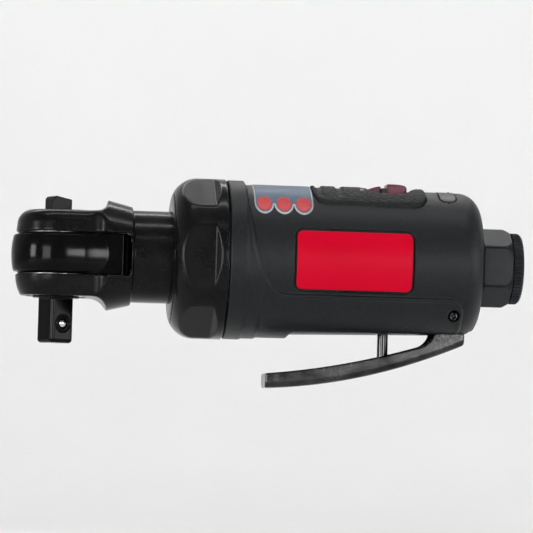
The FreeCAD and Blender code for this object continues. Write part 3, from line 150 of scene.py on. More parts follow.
def slot_materials():
    """One material per slot of the record."""
    return {
        "black_steel": make("black_steel", *grey(0.0012, 0.003), (0.17, 0.26), 0.0, 0.07, 160,
                            (object_noise, 900, 0.000012)),
        "polished_black": make("polished_black", *grey(0.0003, 0.001), (0.09, 0.15), 0.0, 0.05, 140,
                               (object_noise, 700, 0.000012)),
        "bright_steel": make("bright_steel", *grey(0.32, 0.42), (0.1, 0.2), 1.0),
        "gear_steel": make("gear_steel", *grey(0.34, 0.42), (0.25, 0.4), 1.0, 0.5, 200,
                           (turning_marks, 900, 0.00001)),
        "spring_steel": make("spring_steel", *grey(0.36, 0.46), (0.22, 0.34), 1.0),
        "bronze": make("bronze", (0.50, 0.34, 0.15), (0.60, 0.42, 0.20), (0.3, 0.45), 1.0),
        "motor_aluminium": make("motor_aluminium", *grey(0.54, 0.62, -0.02), (0.3, 0.42), 1.0, 0.5, 150,
                                (turning_marks, 700, 0.00001)),
        "handle_plastic": make("handle_plastic", *grey(0.0012, 0.006, -0.14), (0.38, 0.48), 0.0, 0.13,
                               2400, (object_noise, 2400, 0.00009)),
        "grip_rubber": make("grip_rubber", *grey(0.002, 0.006, -0.1), (0.5, 0.66), 0.0, 0.12, 900,
                            (object_cells, 1100, 0.0003)),
        "name_plate_red": make("name_plate_red", (0.25, 0.0, 0.008), (0.275, 0.0, 0.0095), (0.3, 0.38), 0.0,
                               0.04, 90, (object_noise, 600, 0.00001)),
        "label_grey": make("label_grey", (0.043, 0.062, 0.086), (0.052, 0.073, 0.1), (0.34, 0.44), 0.0,
                           0.1),
        "inlay_black": make("inlay_black", *grey(0.004, 0.009), (0.3, 0.42), 0.0, 0.13, 900,
                            (object_noise, 1600, 0.00003)),
        "lever_gunmetal": make("lever_gunmetal", *grey(0.013, 0.038), (0.16, 0.3), 1.0, 0.5, 260,
                               (object_noise, 1200, 0.00003)),
        "knob_maroon": make("knob_maroon", (0.045, 0.008, 0.014), (0.07, 0.013, 0.022), (0.22, 0.32), 0.0,
                            0.16, 200, (object_noise, 700, 0.00002)),
        "seal_rubber": make("seal_rubber", *grey(0.008, 0.014), (0.5, 0.6), 0.0, 0.3),
        "dark_anodised": make("dark_anodised", *grey(0.004, 0.0085, -0.2), (0.26, 0.36), 0.0, 0.065, 400,
                              (object_noise, 1500, 0.00002)),
        "dark_chrome": make("dark_chrome", *grey(0.014, 0.03), (0.12, 0.2), 1.0),
        "vane_composite": make("vane_composite", (0.22, 0.11, 0.05), (0.30, 0.16, 0.08), (0.45, 0.6)),
        "felt_grey": make("felt_grey", *grey(0.24, 0.34), (0.8, 0.95), 0.0, 0.2, 900,
                          (object_noise, 3000, 0.0002)),
    }


MATERIALS = slot_materials()
LABEL_RED = make("label_red", (0.22, 0.013, 0.016), (0.25, 0.016, 0.019), (0.34, 0.44), 0.0, 0.2)
LABEL_RIM = make("label_rim", *grey(0.17, 0.22, -0.08), (0.34, 0.44), 0.0, 0.2)
MARK_PINK = make("mark_pink", (0.24, 0.11, 0.11), (0.30, 0.14, 0.14), (0.4, 0.5), 0.0, 0.2)
for part in frame["record"]["subparts"]:
    node = NODES[part["node"]]
    node.data.materials.clear()
    node.data.materials.append(MATERIALS[part["material_slot"]])

# ---- distance fields, in millimetres: negative inside ----


def both(first, second, blend=0.0):
    """Where two shapes overlap, with the meeting edge rounded to a radius."""
    if np.isscalar(blend) and blend == 0:
        return np.maximum(first, second)
    corner = np.hypot(np.maximum(first + blend, 0), np.maximum(second + blend, 0))
    return np.minimum(-blend, np.maximum(first, second)) + corner


def either(first, second, blend=0.0):
    """Two shapes as one, with the inner corner filleted to a radius."""
    return -both(-first, -second, blend)


def without(shape, tool, blend=0.0):
    return both(shape, -tool, blend)


def between(value, low, high):
    return np.maximum(low - value, value - high)


def box_field(x, y, z, low, high, blend=0.0):
    sides = [between(value, start, end) for value, start, end in zip((x, y, z), low, high)]
    return both(both(sides[0], sides[1], blend), sides[2], blend)


def tube(along, radius, start, end, size, blend=0.0):
    """Round bar from start to end."""
    return both(radius - size, between(along, start, end), blend)


def ramp(value, width):
    """Smooth step from 0 to 1 as a distance passes through zero."""
    share = np.clip(value / width + 0.5, 0, 1)
    return share * share * (3 - 2 * share)


def span(node):
    """Lowest and highest corner of a CAD node in these millimetres."""
    low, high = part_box(node)
    lift = Vector((0, 0, AXIS_HEIGHT))
    return low / MM - lift, high / MM - lift


# ---- surface nets ----

CORNERS = np.array([(i, j, k) for i in (0, 1) for j in (0, 1) for k in (0, 1)])
EDGES = [(a, b) for a in range(8) for b in range(a, 8) if abs(CORNERS[a] - CORNERS[b]).sum() == 1]
PROBE = 0.02
SETTLE_STEPS = 2


def settle(points, field, step):
    """Move points onto the zero surface, by at most half a step."""
    for _ in range(SETTLE_STEPS):
        value = field(*points.T)
        rises = [field(*(points + way).T) - field(*(points - way).T) for way in np.eye(3) * PROBE]
        slope = np.stack(rises, axis=1) / (2 * PROBE)
        steepness = np.maximum((slope**2).sum(axis=1), 0.25)
        points = points + np.clip(-(value / steepness)[:, None] * slope, -step / 2, step / 2)
    return points


def skin(field, low, high, step):
    """Points and quads of the closed surface where a distance field is zero."""
    axes = [np.arange(start - 2 * step, end + 2 * step, step) for start, end in zip(low, high)]
    value = field(*np.meshgrid(*axes, indexing="ij"))
    inside = value < 0
    cells = tuple(count - 1 for count in value.shape)
    filled = sum(
        inside[i:i + cells[0], j:j + cells[1], k:k + cells[2]].astype(np.int8) for i, j, k in CORNERS
    )
    crossed = (filled > 0) & (filled < 8)
    place = np.argwhere(crossed)
    number = np.full(cells, -1)
    number[crossed] = np.arange(len(place))
    corner_values = [value[tuple((place + corner).T)] for corner in CORNERS]
    total, hits = np.zeros(place.shape), np.zeros(len(place))
    for first, second in EDGES:
        start, end = corner_values[first], corner_values[second]
        hit = (start < 0) != (end < 0)
        share = np.where(hit, start / np.where(hit, start - end, 1), 0)
        point = CORNERS[first] + share[:, None] * (CORNERS[second] - CORNERS[first])
        total += point * hit[:, None]
        hits += hit
    points = np.array([axis[0] for axis in axes]) + (place + total / hits[:, None]) * step
    quads = []
    for axis in range(3):
        side, up = np.roll(np.eye(3, dtype=int), -axis, axis=0)[1:]
        ahead = np.roll(inside, -1, axis=axis)
        edge = np.argwhere(inside != ahead)
        ring = np.stack([number[tuple((edge - way).T)] for way in (0 * up, side, side + up, up)], axis=1)
        outward = inside[tuple(edge.T)]
        quads.append(np.where(outward[:, None], ring, ring[:, ::-1]))
    return settle(points, field, step), np.concatenate(quads)


def piece(name, field, low, high, step, body, slot, nodes=(), material=None):
    """Mesh of a distance field as a finished piece on its body."""
    points, quads = skin(field, low, high, step)
    points[:, 2] += AXIS_HEIGHT
    mesh = bpy.data.meshes.new(name)
    mesh.from_pydata((points * MM).tolist(), [], quads.tolist())
    mesh.polygons.foreach_set("use_smooth", [True] * len(mesh.polygons))
    mesh.materials.append(material or MATERIALS[slot])
    made = bpy.data.objects.new(name, mesh)
    bpy.context.scene.collection.objects.link(made)
    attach(made, body)
    if nodes:
        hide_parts(*nodes)


# ---- head ----

DRIVE_TURN, KNOB_TURN = math.radians(33.5), math.radians(28)
EAR_HALF_GAP = 4.95
EAR_RADIUS = 9.75
SLOT_END = 17.0


def turned(x, y, turn):
    """Coordinates turned about the vertical."""
    return math.cos(turn) * x + math.sin(turn) * y, -math.sin(turn) * x + math.cos(turn) * y


def head():
    """Forked head with its boss, neck and flange, and the two holes for the anvil."""
    low, high = span("ratchet_housing")
    top, bottom = 10.25, -9.95
    boss_front, boss_rear, boss_radius = 12.2, 17.4, 12.9
    neck_radius, flange_front, flange_radius = 10.85, 27.5, 15.0
    bore_radius, bore_front = 7.0, 14.6
    upper_hole, lower_hole, ring_recess, ring_top = 4.95, 5.55, 7.0, -9.25

    def field(x, y, z):
        radius = np.hypot(y, z)
        boss = both(radius - (boss_radius - 0.25 * (x - boss_front)), x - boss_rear, 0.3)
        round_end = np.hypot(np.minimum(x, 0), y)
        draft = 0.1 * np.maximum(np.abs(z) - EAR_HALF_GAP, 0)
        sides = either(round_end - EAR_RADIUS + draft, boss_front - 0.3 - x, 4.0)
        above = either(z - top, boss_front - 0.7 - x, 2.6)
        below = either(bottom - z, boss_front - 0.4 - x, 3.8)
        chamfer = either((round_end - EAR_RADIUS + 0.45 * (-z - 7.0)) * 0.91, 6.0 - x, 3.0)
        shoulder = 3.0 - 2.7 * ramp(x - 8.5, 5)
        fork = both(both(both(boss, sides, 0.5), above, shoulder), both(below, chamfer, 0.4), 0.4)
        neck = both(radius - neck_radius, between(x, boss_rear - 1, high.x))
        whole = either(fork, neck, 0.3)
        whole = either(whole, tube(x, radius, flange_front, high.x, flange_radius, 0.3), 0.3)
        slot = both(both(np.abs(z) - EAR_HALF_GAP, x - SLOT_END, 0.8), np.abs(y) - 20)
        bore = both(radius - bore_radius, bore_front - x)
        hole = np.hypot(x, y)
        whole = without(without(whole, slot, 0.35), bore, 0.25)
        whole = without(whole, both(hole - upper_hole, -z), 0.4)
        whole = without(whole, both(hole - lower_hole, z), 0.3)
        return without(whole, both(hole - ring_recess, z - ring_top), 0.3)

    piece("head_fork", field, low, high, 0.27, "tool", "black_steel", ["ratchet_housing"])


def yoke():
    """Yoke with a raised land on each face, which narrows its gap to the ears of the fork."""
    low, high = span("ratchet_yoke")
    teeth, tooth_tip, tooth_depth = 36, 7.6, 0.65
    thickness, land = 4.4, 4.83

    def field(x, y, z):
        radius = np.hypot(x, y)
        crown = radius - (10.8 - 0.028 * z * z)
        shank_half = 10.35 - 0.008 * np.maximum(x, 0) ** 2 - 0.02 * np.maximum(x - 12.4, 0) ** 2
        shank = both(np.abs(y) - shank_half + 0.02 * z * z, between(x, 0, 15.7), 1.3)
        blank = both(either(crown, shank, 1.0), np.abs(z) - thickness, 0.45)
        step = both(both(np.hypot(np.minimum(x, 0), y) - 9.25, x - 15.2), 8.35 - radius)
        blank = either(blank, both(step, np.abs(z) - land))
        blank = either(blank, box_field(x, y, z, (15.4, -6, -4.7), (16.6, 6, 4.7), 0.2))
        tail = box_field(x, y, z, (12.9, -4.75, -3.3), (19.3, 4.75, 3.3), 0.4)
        slot = box_field(x, y, z, (14.9, -3.1, -6), (22, 3.1, 6))
        angle = np.arctan2(y, x)
        wave = np.abs(((angle * teeth / (2 * np.pi)) % 1) - 0.5) * 2
        opening = radius - (tooth_tip + tooth_depth * wave)
        return without(without(either(blank, tail, 0.3), slot, 0.2), opening, 0.1)

    low, high = (low.x, low.y, -land), (high.x, high.y, land)
    piece("oscillating_yoke", field, low, high, 0.24, "yoke", "polished_black", ["ratchet_yoke"])


def drive():
    """Anvil that the yoke turns, with the square drive and its staked ball below."""
    low, high = span("anvil")
    ball_height = (span("detent_ball")[0].z + span("detent_ball")[1].z) / 2
    half, chamfer, square_root = 6.35 / 2, 0.62, -9
    core_half, core_radius, journal_radius, collar_radius = 4.4, 6.2, 4.9, 5.5
    groove_height, groove_half, groove_radius = -9.55, 0.25, 5.0

    def field(x, y, z):
        radius = np.hypot(x, y)
        across, along = turned(x, y, DRIVE_TURN)
        square = both(np.abs(across) - half, np.abs(along) - half, 0.15)
        corner = (np.abs(across) + np.abs(along) - 2 * half + chamfer) / math.sqrt(2)
        square = both(both(square, corner, 0.2), between(z, low.z, square_root), 0.9)
        core = tube(z, radius, -core_half, core_half, core_radius, 0.3)
        journals = tube(z, radius, -AXIS_HEIGHT, high.z, journal_radius, 0.2)
        collar = tube(z, radius, -AXIS_HEIGHT, -4, collar_radius, 0.2)
        clip_groove = both(np.abs(z - groove_height) - groove_half, groove_radius - radius)
        whole = either(either(core, journals), without(collar, clip_groove))
        whole = either(whole, square, 0.2)
        from_ball = np.hypot(across, z - ball_height)
        staking = np.hypot(from_ball - 1.85, along + half) - 0.24
        whole = without(whole, staking, 0.12)
        hole = both(from_ball - 1.2, along - 2.2)
        pocket = box_field(x, y, z, (-8, -4.2, -3.2), (-2.2, 4.2, 3.2))
        stalk = both(radius - 1.75, -3.2 - z)
        pin = both(np.hypot(x + 4.95, y) - 0.8, np.abs(z) - 4.1)
        sweep = tube(z, radius, -0.9, 0.9, 2.75)
        for tool in (hole, pocket, stalk, pin, sweep):
            whole = without(whole, tool, 0.1)
        return whole

    piece("square_drive_anvil", field, low, high, 0.2, "drive", "polished_black", ["anvil"])


def reverse_knob():
    low, high = span("reverse_knob")

    def field(x, y, z):
        across, along = turned(x, y, KNOB_TURN)
        slope = z - (high.z - 0.35) + 0.17 * (across + 1.2)
        nose = (-across + z - high.z - 1.6) / math.sqrt(2)
        body = both(both(np.abs(across) - 2.5, np.abs(along) - 2.2, 0.35), between(z, low.z, high.z))
        return both(both(body, slope, 0.35), nose, 0.3)

    piece("reverse_wedge", field, low, high, 0.12, "reverser", "black_steel", ["reverse_knob"])


# ---- nut and handle ----


def nut():
    """Domed clamp nut with six wrench flats, each ending in a sloped wall at the rear."""
    low, high = span("clamp_nut")
    outer = high.z - 0.03
    neck_bore, front_room, rear_room, rear_room_start = 10.9, 15.2, 15.6, 30.4
    apothem, flat_rear = 17.5, 36.1
    dome_end, dome_length, dome_height = 32.4, 6.2, 6.6

    def field(x, y, z):
        radius = np.hypot(y, z)
        dome = np.hypot(np.minimum(x - dome_end, 0) / dome_length * dome_height,
                        np.maximum(radius - outer + dome_height, 0)) - dome_height
        body = both(both(dome, low.x - x, 0.5), x - high.x, 0.35)
        for index in range(6):
            angle = math.pi / 3 * index
            reach = -y * math.cos(angle) + z * math.sin(angle)
            wall = (flat_rear + (reach - apothem) - x) / math.sqrt(2)
            body = both(body, np.minimum(reach - apothem, wall), 0.18)
        bore = radius - neck_bore
        room = both(radius - front_room, low.x + 0.6 - x)
        wide = both(radius - rear_room, rear_room_start - x)
        return without(body, np.minimum(np.minimum(bore, room), wide), 0.2)

    piece("clamp_nut_body", field, low, high, 0.27, "tool", "black_steel", ["clamp_nut"])


def panel_edge(x, z):
    """Signed distance across the border of the upper side panel, negative on the panel."""
    lean = z - 5
    front = 45.2 - 0.2215 * lean + 0.00284 * lean**2
    corner = both(front - x, -8.4 - z, 4.5)
    return either(corner, 94.4 - x, 3.5)


def plate_outline(x, z, margin, corner):
    low, high = span("name_plate")
    along = between(x, low.x - margin, high.x + margin)
    return both(along, between(z, low.z - margin, high.z + margin), corner)


def pad_outline(x, y, margin):
    low, high = span("grip_pad")
    return both(between(x, low.x - margin, high.x + margin), np.abs(y) - high.y - margin, 3.6)


def inlay_outline(x, y, margin):
    low, high = span("top_inlay")
    return both(between(x, low.x - margin, high.x + margin), np.abs(y) - high.y - margin, 1.85)


def knob_pocket_outline(x, y, margin):
    middle = (span("regulator_spool")[0].x + span("regulator_spool")[1].x) / 2
    return np.hypot(x - middle, np.maximum(np.abs(y) - 2.6, 0)) - 5.3 - margin


def handle():
    """Hollow moulded handle with its side panels, plate recess, pad seats and bores."""
    low, high = span("handle_shell")
    stem_low, stem_high = span("throttle_stem")
    stem = (stem_low.x + stem_high.x) / 2
    pin_low, pin_high = span("lever_pin")
    pin_x, pin_z = (pin_low.x + pin_high.x) / 2, (pin_low.z + pin_high.z) / 2
    throttle_bores = [(2.0, -19, -12.5), (2.4, -12.5, -11.3), (2.6, -11.3, -9.0), (3.9, -9.0, -0.2),
                      (1.5, -0.7, 2.1), (3.6, 1.6, 15.8)]
    panel_radius, rail, bead, belly, collar = 17.8, 0.42, 0.22, 18.5, high.z - 0.03
    belly_end, collar_end = 46.9, 43.5
    cavity_radius, cavity_end = 15.5, 71.3
    socket_radius, socket_start = 7.85, 88
    chamber_radius, chamber_start, chamber_end = 6.0, 84, 89
    exhaust_inner, exhaust_outer, exhaust_start = 9.3, 12.7, 93
    underside, underside_start, underside_end, underside_slope = 17.15, 54.6, 95.8, 0.0258

    def field(x, y, z):
        radius = np.hypot(y, z)
        taper = 0.006 * (x - 44)
        edge = panel_edge(x, z)
        size = panel_radius + rail * ramp(edge, 0.4) + bead * ramp(0.5 - np.abs(edge - 0.35), 0.4) - taper
        plate = np.maximum(plate_outline(x, z, 0.5, 1.9), y)
        size = size - 0.5 * ramp(-plate, 0.22)
        under = ramp(-3 - z, 4) * ramp(belly_end - x, 0.9)
        size = size + (belly - size) * under
        size = size + (collar - size) * ramp(collar_end - x, 0.9)
        body = both(both(radius - size, x - high.x + 0.45, 5.2), low.x - x, 0.4)
        floor = underside - underside_slope * (x - 54.4)
        body = both(body, either(either(-z - floor, x - underside_start, 0.9), underside_end - x, 0.5), 0.5)
        body = without(body, both(radius - cavity_radius, x - cavity_end), 0.1)
        body = without(body, both(radius - socket_radius, socket_start - x), 0.25)
        body = without(body, both(radius - chamber_radius, between(x, chamber_start, chamber_end)), 0.1)
        pad = np.maximum(pad_outline(x, y, 0.12), 16.8 - radius)
        body = without(body, np.maximum(pad, -z), 0.18)
        inlay = np.maximum(inlay_outline(x, y, 0.1), 16.9 - radius)
        body = without(body, np.maximum(inlay, -z), 0.12)
        body = without(body, np.maximum(knob_pocket_outline(x, y, 0), 15.4 - z), 0.3)
        exhaust = between(radius, exhaust_inner, exhaust_outer)
        exhaust = np.maximum(exhaust, np.maximum(exhaust_start - x, -3.2 - z))
        body = without(body, exhaust, 0.2)
        lever = box_field(x, y, z, (86.4, -5.45, -25), (98.4, 5.45, -9.1), 0.6)
        body = without(body, lever, 0.35)
        from_stem = np.hypot(x - stem, y)
        for bore, bottom, top in throttle_bores:
            body = without(body, both(from_stem - bore, between(z, bottom, top)), 0.05)
        from_pin = np.hypot(x - pin_x, z - pin_z)
        body = without(body, both(from_pin - 1.35, pin_high.y - 0.9 - np.abs(y)), 0.2)
        return without(body, from_pin - 1.0, 0.05)

    piece("handle_body", field, low, high, 0.3, "tool", "handle_plastic", ["handle_shell"])


def name_plate():
    low, high = span("name_plate")
    crown = -low.y

    def field(x, y, z):
        radius = np.hypot(y, z)
        sheet = between(radius, crown - 0.7, crown + 0.02)
        return both(both(plate_outline(x, z, 0.0, 1.4), sheet, 0.12), y)

    piece("name_plate_blank", field, (low.x, low.y - 0.1, low.z), (high.x, high.y, high.z), 0.2, "tool",
          "name_plate_red", ["name_plate"])


def info_label():
    """Plain grey label over the top, with three scallops a side and a plain disc in each."""
    low, high = span("info_label")
    sheet_radius = 17.8
    lobe = (high.x - low.x) / 6
    turn = math.radians(44)
    reach = sheet_radius * turn
    middles = [low.x + lobe * (1 + 2 * index) for index in range(3)]

    def outline(x, arc, margin):
        shape = both(between(x, low.x - margin, high.x + margin), arc - reach)
        for middle in middles:
            shape = np.minimum(shape, np.hypot(x - middle, 0.7 * (arc - reach)) - lobe - margin)
        return shape

    def sheet(margin, bottom, top):
        def field(x, y, z):
            arc = sheet_radius * np.arctan2(np.abs(y), z)
            wall = between(np.hypot(y, z), sheet_radius + bottom, sheet_radius + top)
            return both(outline(x, arc, margin), wall, 0.04)
        return field

    scallop_reach, scallop_bottom = 15.6, 9.4
    corner_low = (low.x, -scallop_reach, scallop_bottom)
    corner_high = (high.x, scallop_reach, sheet_radius + 0.3)
    piece("info_label_rim", sheet(0.0, -0.25, 0.10), corner_low, corner_high, 0.17, "tool", "label_grey",
          material=LABEL_RIM)
    piece("info_label_sheet", sheet(-0.32, -0.12, 0.16), corner_low, corner_high, 0.17, "tool", "label_grey",
          ["info_label"])

    def discs(x, y, z):
        arc = sheet_radius * np.arctan2(np.abs(y), z)
        nearest = np.min([np.hypot(x - middle, 0.7 * (arc - reach)) for middle in middles], axis=0)
        wall = between(np.hypot(y, z), sheet_radius, sheet_radius + 0.24)
        return both(nearest - lobe * 0.76, wall, 0.05)

    piece("info_label_discs", discs, corner_low, corner_high, 0.15, "tool", "label_grey", material=LABEL_RED)


def grip_pad():
    low, high = span("grip_pad")
    crown = high.z - 0.1
    grooves = (60.9, 65.7)
    knob = (span("regulator_knob")[0].x + span("regulator_knob")[1].x) / 2

    def field(x, y, z):
        radius = np.hypot(y, z)
        pebbles = np.sin(5.1 * x + 1.4 * np.sin(3.3 * y)) * np.sin(5.6 * y + 1.8 * np.sin(2.7 * x))
        relief = 0.09 * pebbles
        for groove in grooves:
            band = ramp(0.75 - np.abs(x - groove), 0.5) * ramp(9.6 - np.abs(y), 1.6)
            relief = relief * (1 - band) - 0.4 * band
        sheet = between(radius, 16.85, crown + relief)
        shape = both(both(pad_outline(x, y, 0.0), sheet, 0.35), -z)
        scoop = np.hypot(x - knob, y) - 6.6
        return without(without(shape, knob_pocket_outline(x, y, 0.15), 0.3),
                       np.maximum(scoop, 17.6 - radius), 0.3)

    piece("thumb_pad", field, (low.x, low.y, low.z), (high.x, high.y, high.z + 0.1), 0.22, "tool",
          "grip_rubber", ["grip_pad"])


def dial_marks():
    """Three small raised dots on the pad, beside the regulator's pointer."""
    crown = span("grip_pad")[1].z
    knob = (span("regulator_knob")[0].x + span("regulator_knob")[1].x) / 2
    spots = [(knob - 6.6, -5.6), (knob - 8.2, 0.0), (knob - 6.6, 5.6)]

    def field(x, y, z):
        nearest = np.min([np.hypot(x - across, y - along) for across, along in spots], axis=0)
        return both(nearest - 0.55, between(np.hypot(y, z), crown - 0.8, crown - 0.05), 0.15)

    piece("dial_marks", field, (knob - 9.5, -7, 15), (knob - 5, 7, crown + 0.2), 0.12, "tool", "knob_maroon",
          material=MARK_PINK)


def top_inlay():
    low, high = span("top_inlay")
    crown = high.z - 0.12
    middle = (low.x + high.x) / 2

    def field(x, y, z):
        sheet = between(np.hypot(y, z), 16.95, crown)
        strip = both(both(inlay_outline(x, y, 0.0), sheet, 0.15), -z)
        nub = np.sqrt((x - middle - 1.2) ** 2 + y**2 + (z - crown + 0.2) ** 2) - 0.4
        return either(strip, nub, 0.15)

    piece("top_strip", field, low, (high.x, high.y, high.z + 0.3), 0.17, "tool", "inlay_black", ["top_inlay"])


# ---- throttle and regulator ----


def lever():
    """Pressed channel that opens upwards, with two ears round the roll pin."""
    low, high = span("throttle_lever")
    pin_low, pin_high = span("lever_pin")
    pin_x, pin_z = (pin_low.x + pin_high.x) / 2, (pin_low.z + pin_high.z) / 2
    half, wall = high.y, 1.0

    def field(x, y, z):
        run = x - 51.0
        bottom = 30.0 - 0.058 * run - 0.0042 * run**2
        edge = x - 50.2
        top = 26.5 - 0.1 * edge - 0.0028 * edge**2
        across = np.abs(y)
        from_pin = np.hypot(x - pin_x, z - pin_z)
        face = both(-z - bottom, across - half, 1.5)
        blade = both(z + top, between(x, low.x, 92), 0.5)
        flank = (pin_x - 2.1 - x - 0.35 * (-z + pin_z)) * 0.94
        rear = (x - pin_x - 2.1 - 0.95 * np.clip(-z + pin_z, 0, 2)) * 0.9
        ear = both(both(flank, rear, 0.4), z - pin_z)
        side = either(either(blade, ear, 1.6), from_pin - 2.1, 0.2)
        shape = both(both(face, side, 0.3), between(x, low.x, high.x), 0.8)
        hollow = both(both(across - half + wall, -z - bottom + wall, 0.7), low.x + wall - x, 0.7)
        return without(without(shape, hollow, 0.25), from_pin - 1.04, 0.1)

    piece("lever_channel", field, low, high, 0.2, "lever", "lever_gunmetal", ["throttle_lever"])


def roll_pin():
    low, high = span("lever_pin")
    middle_x, middle_z = (low.x + high.x) / 2, (low.z + high.z) / 2

    def field(x, y, z):
        radius = np.hypot(x - middle_x, z - middle_z)
        sleeve = both(np.maximum(radius - 0.98, 0.5 - radius), np.abs(y) - high.y, 0.15)
        gap = np.maximum(np.abs(x - middle_x - 0.15 * (z - middle_z)) - 0.16, middle_z - z)
        return without(sleeve, gap)

    piece("roll_pin", field, low, high, 0.13, "tool", "bright_steel", ["lever_pin"],
          material=MATERIALS["dark_chrome"])


def regulator_knob():
    low, high = span("regulator_knob")
    middle = (low.x + high.x) / 2
    slot_start, slot_end = -1.5, -0.3

    def field(x, y, z):
        across = x - middle
        radius = np.hypot(across, y)
        disc = tube(z, radius, 15.6, 16.7, 4.9, 0.3)
        grip = box_field(across, y, z, (slot_end, -2.6, 15.6), (4.9, 2.6, high.z), 0.4)
        crown = (z - high.z - 0.35 + 0.35 * (across - 2.2)) * 0.94
        grip = both(both(grip, crown, 0.4), radius - 4.9, 0.4)
        wedge = box_field(across, y, z, (-4.9, -1.5, 15.6), (slot_start, 1.5, high.z - 0.5), 0.35)
        wedge = both(wedge, (z - high.z + 0.4 - 0.35 * (across + 2)) * 0.94, 0.3)
        slot = box_field(across, y, z, (slot_start, -2.9, 15), (slot_end, 2.9, 20))
        return without(either(either(disc, grip, 0.3), wedge, 0.3), slot, 0.15)

    piece("regulator_dial", field, low, high, 0.14, "regulator", "knob_maroon", ["regulator_knob"])


# ---- inlet ----


def inlet():
    """Hexagonal inlet bushing with a threaded bore."""
    low, high = span("inlet_bushing")
    hex_front, hex_rear, apothem, corner = 100.2, 107.3, 8.15, high.z
    pitch = 1.41
    bore = MOUNTS["air_inlet"]["dims"]["r_mm"]

    def field(x, y, z):
        radius = np.hypot(y, z)
        sides = [-y * math.cos(turn) + z * math.sin(turn) for turn in np.arange(6) * math.pi / 3]
        hexagon = both(np.max(sides, axis=0) - apothem, between(x, hex_front, hex_rear), 0.2)
        cone = (radius - corner + 0.9 + (x - hex_rear) * 0.58) * 0.86
        hexagon = both(both(hexagon, radius - corner, 0.2), cone, 0.2)
        body = either(hexagon, tube(x, radius, low.x, hex_front + 1, 7.8, 0.2))
        body = either(body, tube(x, radius, hex_rear - 1, high.x, 7.0, 0.3), 0.2)
        turn = np.arctan2(z, y) / (2 * np.pi)
        thread = np.abs(((x / pitch + turn) % 1) - 0.5) * 2
        threaded = both(radius - bore - 0.5 * thread, between(x, 97.2, high.x + 1))
        seat = both(radius - 5.05, between(x, 95.6, 98))
        throat = radius - 4.0
        return without(body, np.minimum(np.minimum(threaded, seat), throat), 0.1)

    piece("inlet_hexagon", field, low, high, 0.2, "tool", "dark_anodised", ["inlet_bushing"])


def knurled_collar():
    low, high = span("inlet_collar")
    outer, teeth, depth = high.z, 60, 0.3

    def field(x, y, z):
        radius = np.hypot(y, z)
        knurl = radius - outer + depth * (0.5 + 0.5 * np.cos(teeth * np.arctan2(z, y)))
        edge = (radius - outer + 0.7 + (x - high.x)) * 0.7
        shape = both(both(knurl, between(x, low.x, high.x), 0.15), edge, 0.2)
        return without(shape, radius - 7.02, 0.1)

    piece("knurled_collar", field, low, high, 0.13, "tool", "dark_anodised", ["inlet_collar"])


# ---- stage, lights and camera ----


def cyclorama():
    """Flat pale floor that rises in a round sweep to a wall all round."""
    floor_level, floor_radius, sweep, wall = -0.085, 1.1, 0.5, 1.6
    steps, sides = 12, 96
    profile = [(0.02, 0), (floor_radius, 0)]
    for step in range(1, steps + 1):
        angle = math.pi / 2 * step / steps
        profile.append((floor_radius + sweep * math.sin(angle), sweep - sweep * math.cos(angle)))
    profile.append((floor_radius + sweep, wall))
    mesh = bpy.data.meshes.new("floor")
    verts, faces = [], []
    for radius, height in profile:
        for side in range(sides):
            angle = 2 * math.pi * side / sides
            verts.append((radius * math.cos(angle), radius * math.sin(angle), floor_level + height))
    for level in range(len(profile) - 1):
        for side in range(sides):
            following = (side + 1) % sides
            faces.append((level * sides + side, level * sides + following,
                          (level + 1) * sides + following, (level + 1) * sides + side))
    faces.append(tuple(reversed(range(sides))))
    mesh.from_pydata(verts, [], faces)
    floor = bpy.data.objects.new("floor", mesh)
    bpy.context.scene.collection.objects.link(floor)
    mesh.polygons.foreach_set("use_smooth", [True] * len(mesh.polygons))
    mesh.materials.append(make("floor_paper", *grey(0.86, 0.88), (0.8, 0.9), 0.0, 0.1, 8))


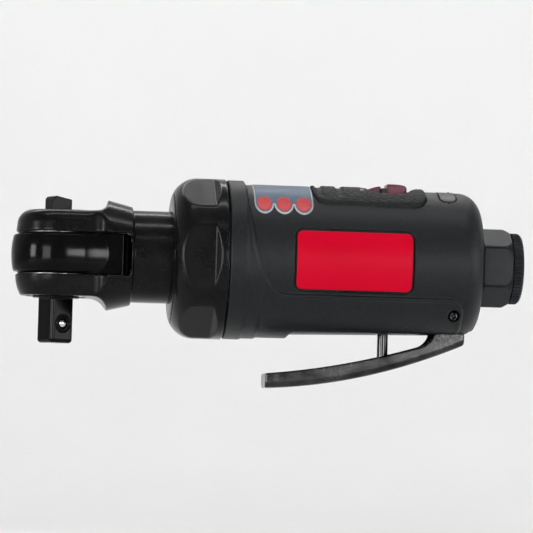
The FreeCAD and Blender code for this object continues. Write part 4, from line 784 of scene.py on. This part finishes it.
def soft_box(name, azimuth, elevation, distance, width, height, power):
    """Soft box that faces the tool; azimuth 0 is the camera's side, and it grows to the right."""
    target = Vector((0.05, 0, 0.01))
    turn, rise = math.radians(azimuth), math.radians(elevation)
    way = Vector((math.sin(turn) * math.cos(rise), -math.cos(turn) * math.cos(rise), math.sin(rise)))
    light = bpy.data.lights.new(name, "AREA")
    light.shape = "RECTANGLE"
    light.size, light.size_y = width, height
    light.energy = power
    box = bpy.data.objects.new(name, light)
    box.location = target + way * distance
    box.rotation_euler = (-way).to_track_quat("-Z", "Y").to_euler()
    bpy.context.scene.collection.objects.link(box)
    return box


def lights():
    world = bpy.data.worlds.new("studio")
    world.use_nodes = True
    world.node_tree.nodes["Background"].inputs["Color"].default_value = (1, 1, 1, 1)
    world.node_tree.nodes["Background"].inputs["Strength"].default_value = 0.5
    bpy.context.scene.world = world
    soft_box("overhead_strip", 0, 84, 0.9, 0.9, 0.04, 4.5)
    soft_box("front_fill", 20, 3, 0.9, 0.22, 0.12, 3)
    soft_box("front_strip", 5, 47, 0.9, 0.5, 0.014, 0.5)
    soft_box("right_box", 66, 8, 0.9, 0.4, 0.4, 4)
    soft_box("left_small_box", -66, 4, 0.9, 0.2, 0.22, 5)
    soft_box("left_wide_box", -31, 0, 0.9, 0.3, 0.34, 5.5)
    soft_box("rear_strip", 180, 50, 0.9, 0.8, 0.05, 3)


def camera():
    azimuth, elevation, roll = math.radians(-5.5), math.radians(-2.8), math.radians(1.6)
    distance, lens = 0.8, 228.5
    aim = Vector((0.0495, 0, 0.0091))
    back = Vector((math.sin(azimuth) * math.cos(elevation), -math.cos(azimuth) * math.cos(elevation),
                   math.sin(elevation)))
    right = Vector((math.cos(azimuth), math.sin(azimuth), 0))
    up = back.cross(right)
    right, up = (math.cos(roll) * right + math.sin(roll) * up,
                 -math.sin(roll) * right + math.cos(roll) * up)
    data = bpy.data.cameras.new("camera")
    data.lens = lens
    data.clip_start, data.clip_end = 0.01, 10
    eye = bpy.data.objects.new("camera", data)
    turn = Matrix((right, up, back)).transposed().to_4x4()
    eye.matrix_world = Matrix.Translation(aim + back * distance) @ turn
    bpy.context.scene.collection.objects.link(eye)
    bpy.context.scene.camera = eye


cyclorama()
lights()
camera()
bpy.context.scene.view_settings.view_transform = "Standard"

head()
yoke()
drive()
reverse_knob()
nut()
handle()
name_plate()
info_label()
grip_pad()
dial_marks()
top_inlay()
lever()
roll_pin()
regulator_knob()
inlet()
knurled_collar()
